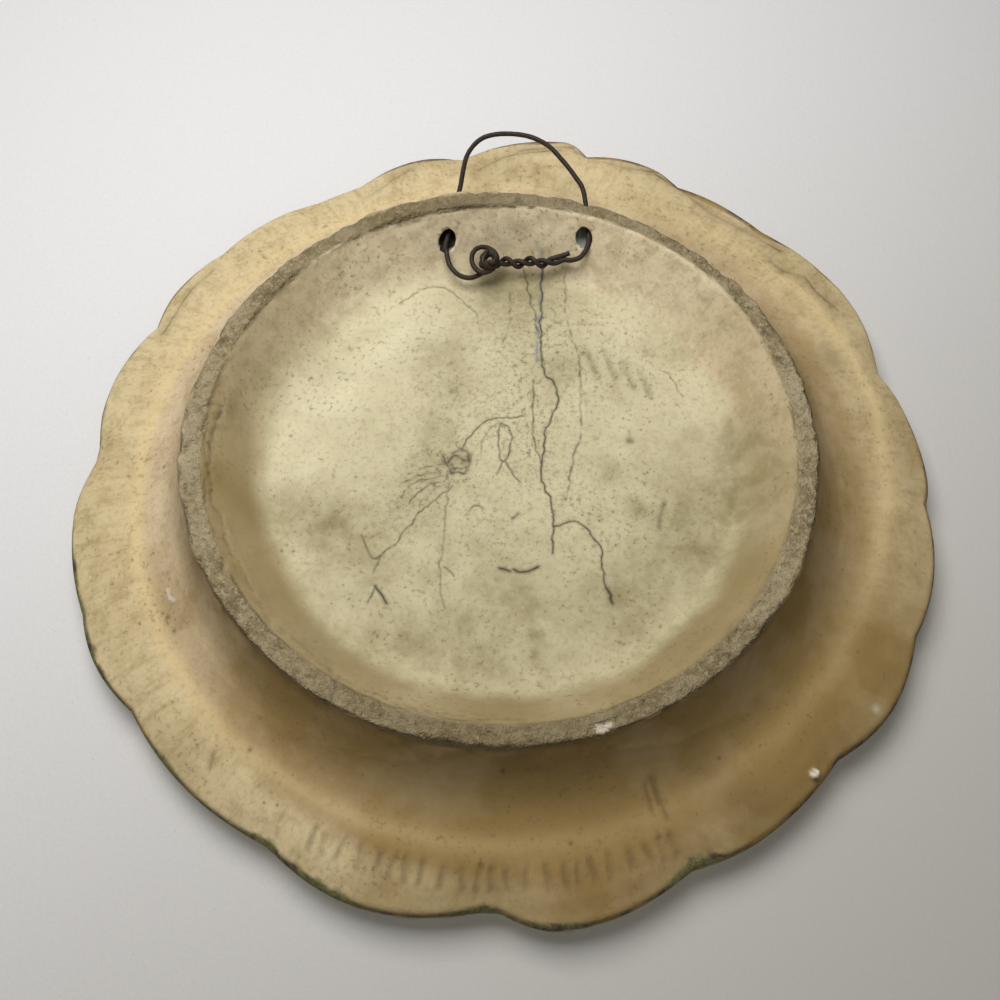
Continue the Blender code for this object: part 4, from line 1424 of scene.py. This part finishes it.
def tube_mesh(name, points, sides):
    """A closed tube through rings of points with a number of sides each."""
    count = len(points)
    faces = [tuple(range(sides))[::-1], tuple(range(count - sides, count))]
    for low in range(0, count - sides, sides):
        high = low + sides
        for here in range(sides):
            ahead = (here + 1) % sides
            faces.append((low + here, low + ahead, high + ahead, high + here))
    mesh = new_mesh(name, to_frame(points), faces)
    turn_faces_out(mesh)
    return mesh


def ring_of(side, up, sides):
    """Directions all round a bar, from one side by way of the other."""
    turn = np.arange(sides) * 2.0 * math.pi / sides
    return np.cos(turn)[:, None] * side + np.sin(turn)[:, None] * up


def hole_cutter(hole, shade, material):
    """A round bar along one wire hole, long enough to cut right through."""
    mouth, far = hole_line(hole)
    middle, half = (mouth + far) / 2.0, (far - mouth) / 2.0 * CUTTER_REACH
    start, end = middle - half, middle + half
    run = (end - start) / np.linalg.norm(end - start)
    side = np.cross(run, (0.0, 0.0, 1.0))
    side = side / np.linalg.norm(side)
    ring = ring_of(side, np.cross(side, run), CUTTER_SIDES)
    rows = [start + (end - start) * share for share in np.linspace(0.0, 1.0, CUTTER_RINGS)]
    points = np.vstack([row + HOLE_RADIUS * ring for row in rows])
    mesh = tube_mesh("hole_cutter", points, CUTTER_SIDES)
    mesh.materials.append(material)
    float_attribute(mesh, "hole", np.full(len(points), shade))
    return add_object("hole_cutter", mesh)


def build_plate():
    mesh = plate_mesh()
    turn_faces_out(mesh)
    material = plaster_material()
    mesh.materials.append(material)
    blank = add_object("plate_blank", mesh)
    cutters = [hole_cutter(LEFT_HOLE, 1.0, material), hole_cutter(RIGHT_HOLE, 0.7, material)]
    for cutter in cutters:
        cut = blank.modifiers.new("cut", "BOOLEAN")
        cut.object = cutter
        cut.operation = "DIFFERENCE"
        cut.solver = "MANIFOLD"
    drilled = bpy.data.meshes.new_from_object(blank.evaluated_get(bpy.context.evaluated_depsgraph_get()))
    for used in (blank, *cutters):
        bpy.data.objects.remove(used)
    drilled.name = "plate_skin"
    drilled.shade_smooth()
    made = add_object("plate_skin", drilled)
    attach(made, "root")
    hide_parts("plate")


def pair_ends():
    """Both ends of the axis that the wire's two strands are twisted around."""
    return hole_line(LEFT_HOLE)[0] + LEFT_PAIR_END, hole_line(RIGHT_HOLE)[0] + RIGHT_PAIR_END


def strand(start_angle, end_share, reach):
    """One strand of the twist, at a reach in mm from the pair's axis."""
    left, right = pair_ends()
    share = np.arange(round(TWIST_STEPS * end_share) + 1)[:, None] / TWIST_STEPS
    angle = np.radians(start_angle) + 2.0 * math.pi * TWIST_TURNS * share
    side = np.hstack((np.zeros_like(angle), np.cos(angle), np.sin(angle))) * reach
    return left + (right - left) * share + side


def knot_spiral():
    """The strand's end, coiled into the knot, from its outside to its middle."""
    share = np.linspace(0.0, 1.0, KNOT_STEPS + 1)
    angle = np.radians(KNOT_START - 360.0 * KNOT_TURNS * share)
    tight = smooth(*KNOT_SHRINK, share)
    wobble = KNOT_WOBBLE * np.sin(2.6 * angle) * tight
    radius = KNOT_RADII[0] + (KNOT_RADII[1] - KNOT_RADII[0]) * tight + wobble
    rise = KNOT_RISE[0] + (KNOT_RISE[1] - KNOT_RISE[0]) * share + KNOT_WOBBLE * np.cos(1.7 * angle)
    offset = np.column_stack((radius * np.cos(angle), KNOT_HEIGHT_SHARE * radius * np.sin(angle), rise))
    return pair_ends()[0] + KNOT_MIDDLE + offset + tight[:, None] * np.array(KNOT_LUMP)


def loop_run():
    """The run outside the foot ring, from the left hole's far mouth to the right one's."""
    left, right = hole_line(LEFT_HOLE)[1], hole_line(RIGHT_HOLE)[1]
    raised = np.array([(0.0, LOOP_RISE * rise, LOOP_LIFT * lift) for _, rise, lift in LOOP])
    return left + (right - left) * np.array([share for share, _, _ in LOOP])[:, None] + raised


def wire_route():
    """The whole wire, from its tail through both holes to the middle of the knot."""
    under = strand(-90.0, TWIST_END_SHARE, TWIST_REACH[0])
    over = strand(90.0, 1.0, TWIST_REACH[1])
    left_lead = hole_line(LEFT_HOLE)[0] + np.array(LEFT_LEAD)
    right_lead = hole_line(RIGHT_HOLE)[0] + np.array(RIGHT_LEAD)
    tail = under[-1] + np.array(TAIL)
    knots = np.vstack((tail, under[::-1], left_lead, loop_run(), right_lead, over[::-1], knot_spiral()))
    return through(knots, WIRE_STEP)


def build_wire():
    """The iron wire as a round tube with a slightly lumpy, rusted skin."""
    route = wire_route()
    ahead = np.gradient(route, axis=0)
    ahead = ahead / np.linalg.norm(ahead, axis=1)[:, None]
    side = np.cross(ahead[0], (0.0, 0.0, 1.0))
    rows = []
    for place, run in zip(route, ahead):
        side = side - run * (side @ run)
        side = side / np.linalg.norm(side)
        rows.append(place + WIRE_DIAMETER / 2.0 * ring_of(side, np.cross(run, side), WIRE_SIDES))
    points = np.vstack(rows)
    middles = np.repeat(route, WIRE_SIDES, axis=0)
    points = middles + (points - middles) * (1.0 + 0.05 * noise(points, 1.1, 61))[:, None]
    mesh = tube_mesh("wire_skin", points, WIRE_SIDES)
    mesh.shade_smooth()
    mesh.materials.append(wire_material())
    made = add_object("wire_skin", mesh)
    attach(made, "root")
    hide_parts("hanging_wire")


build_camera()
build_stage()
build_lights()
build_plate()
build_wire()
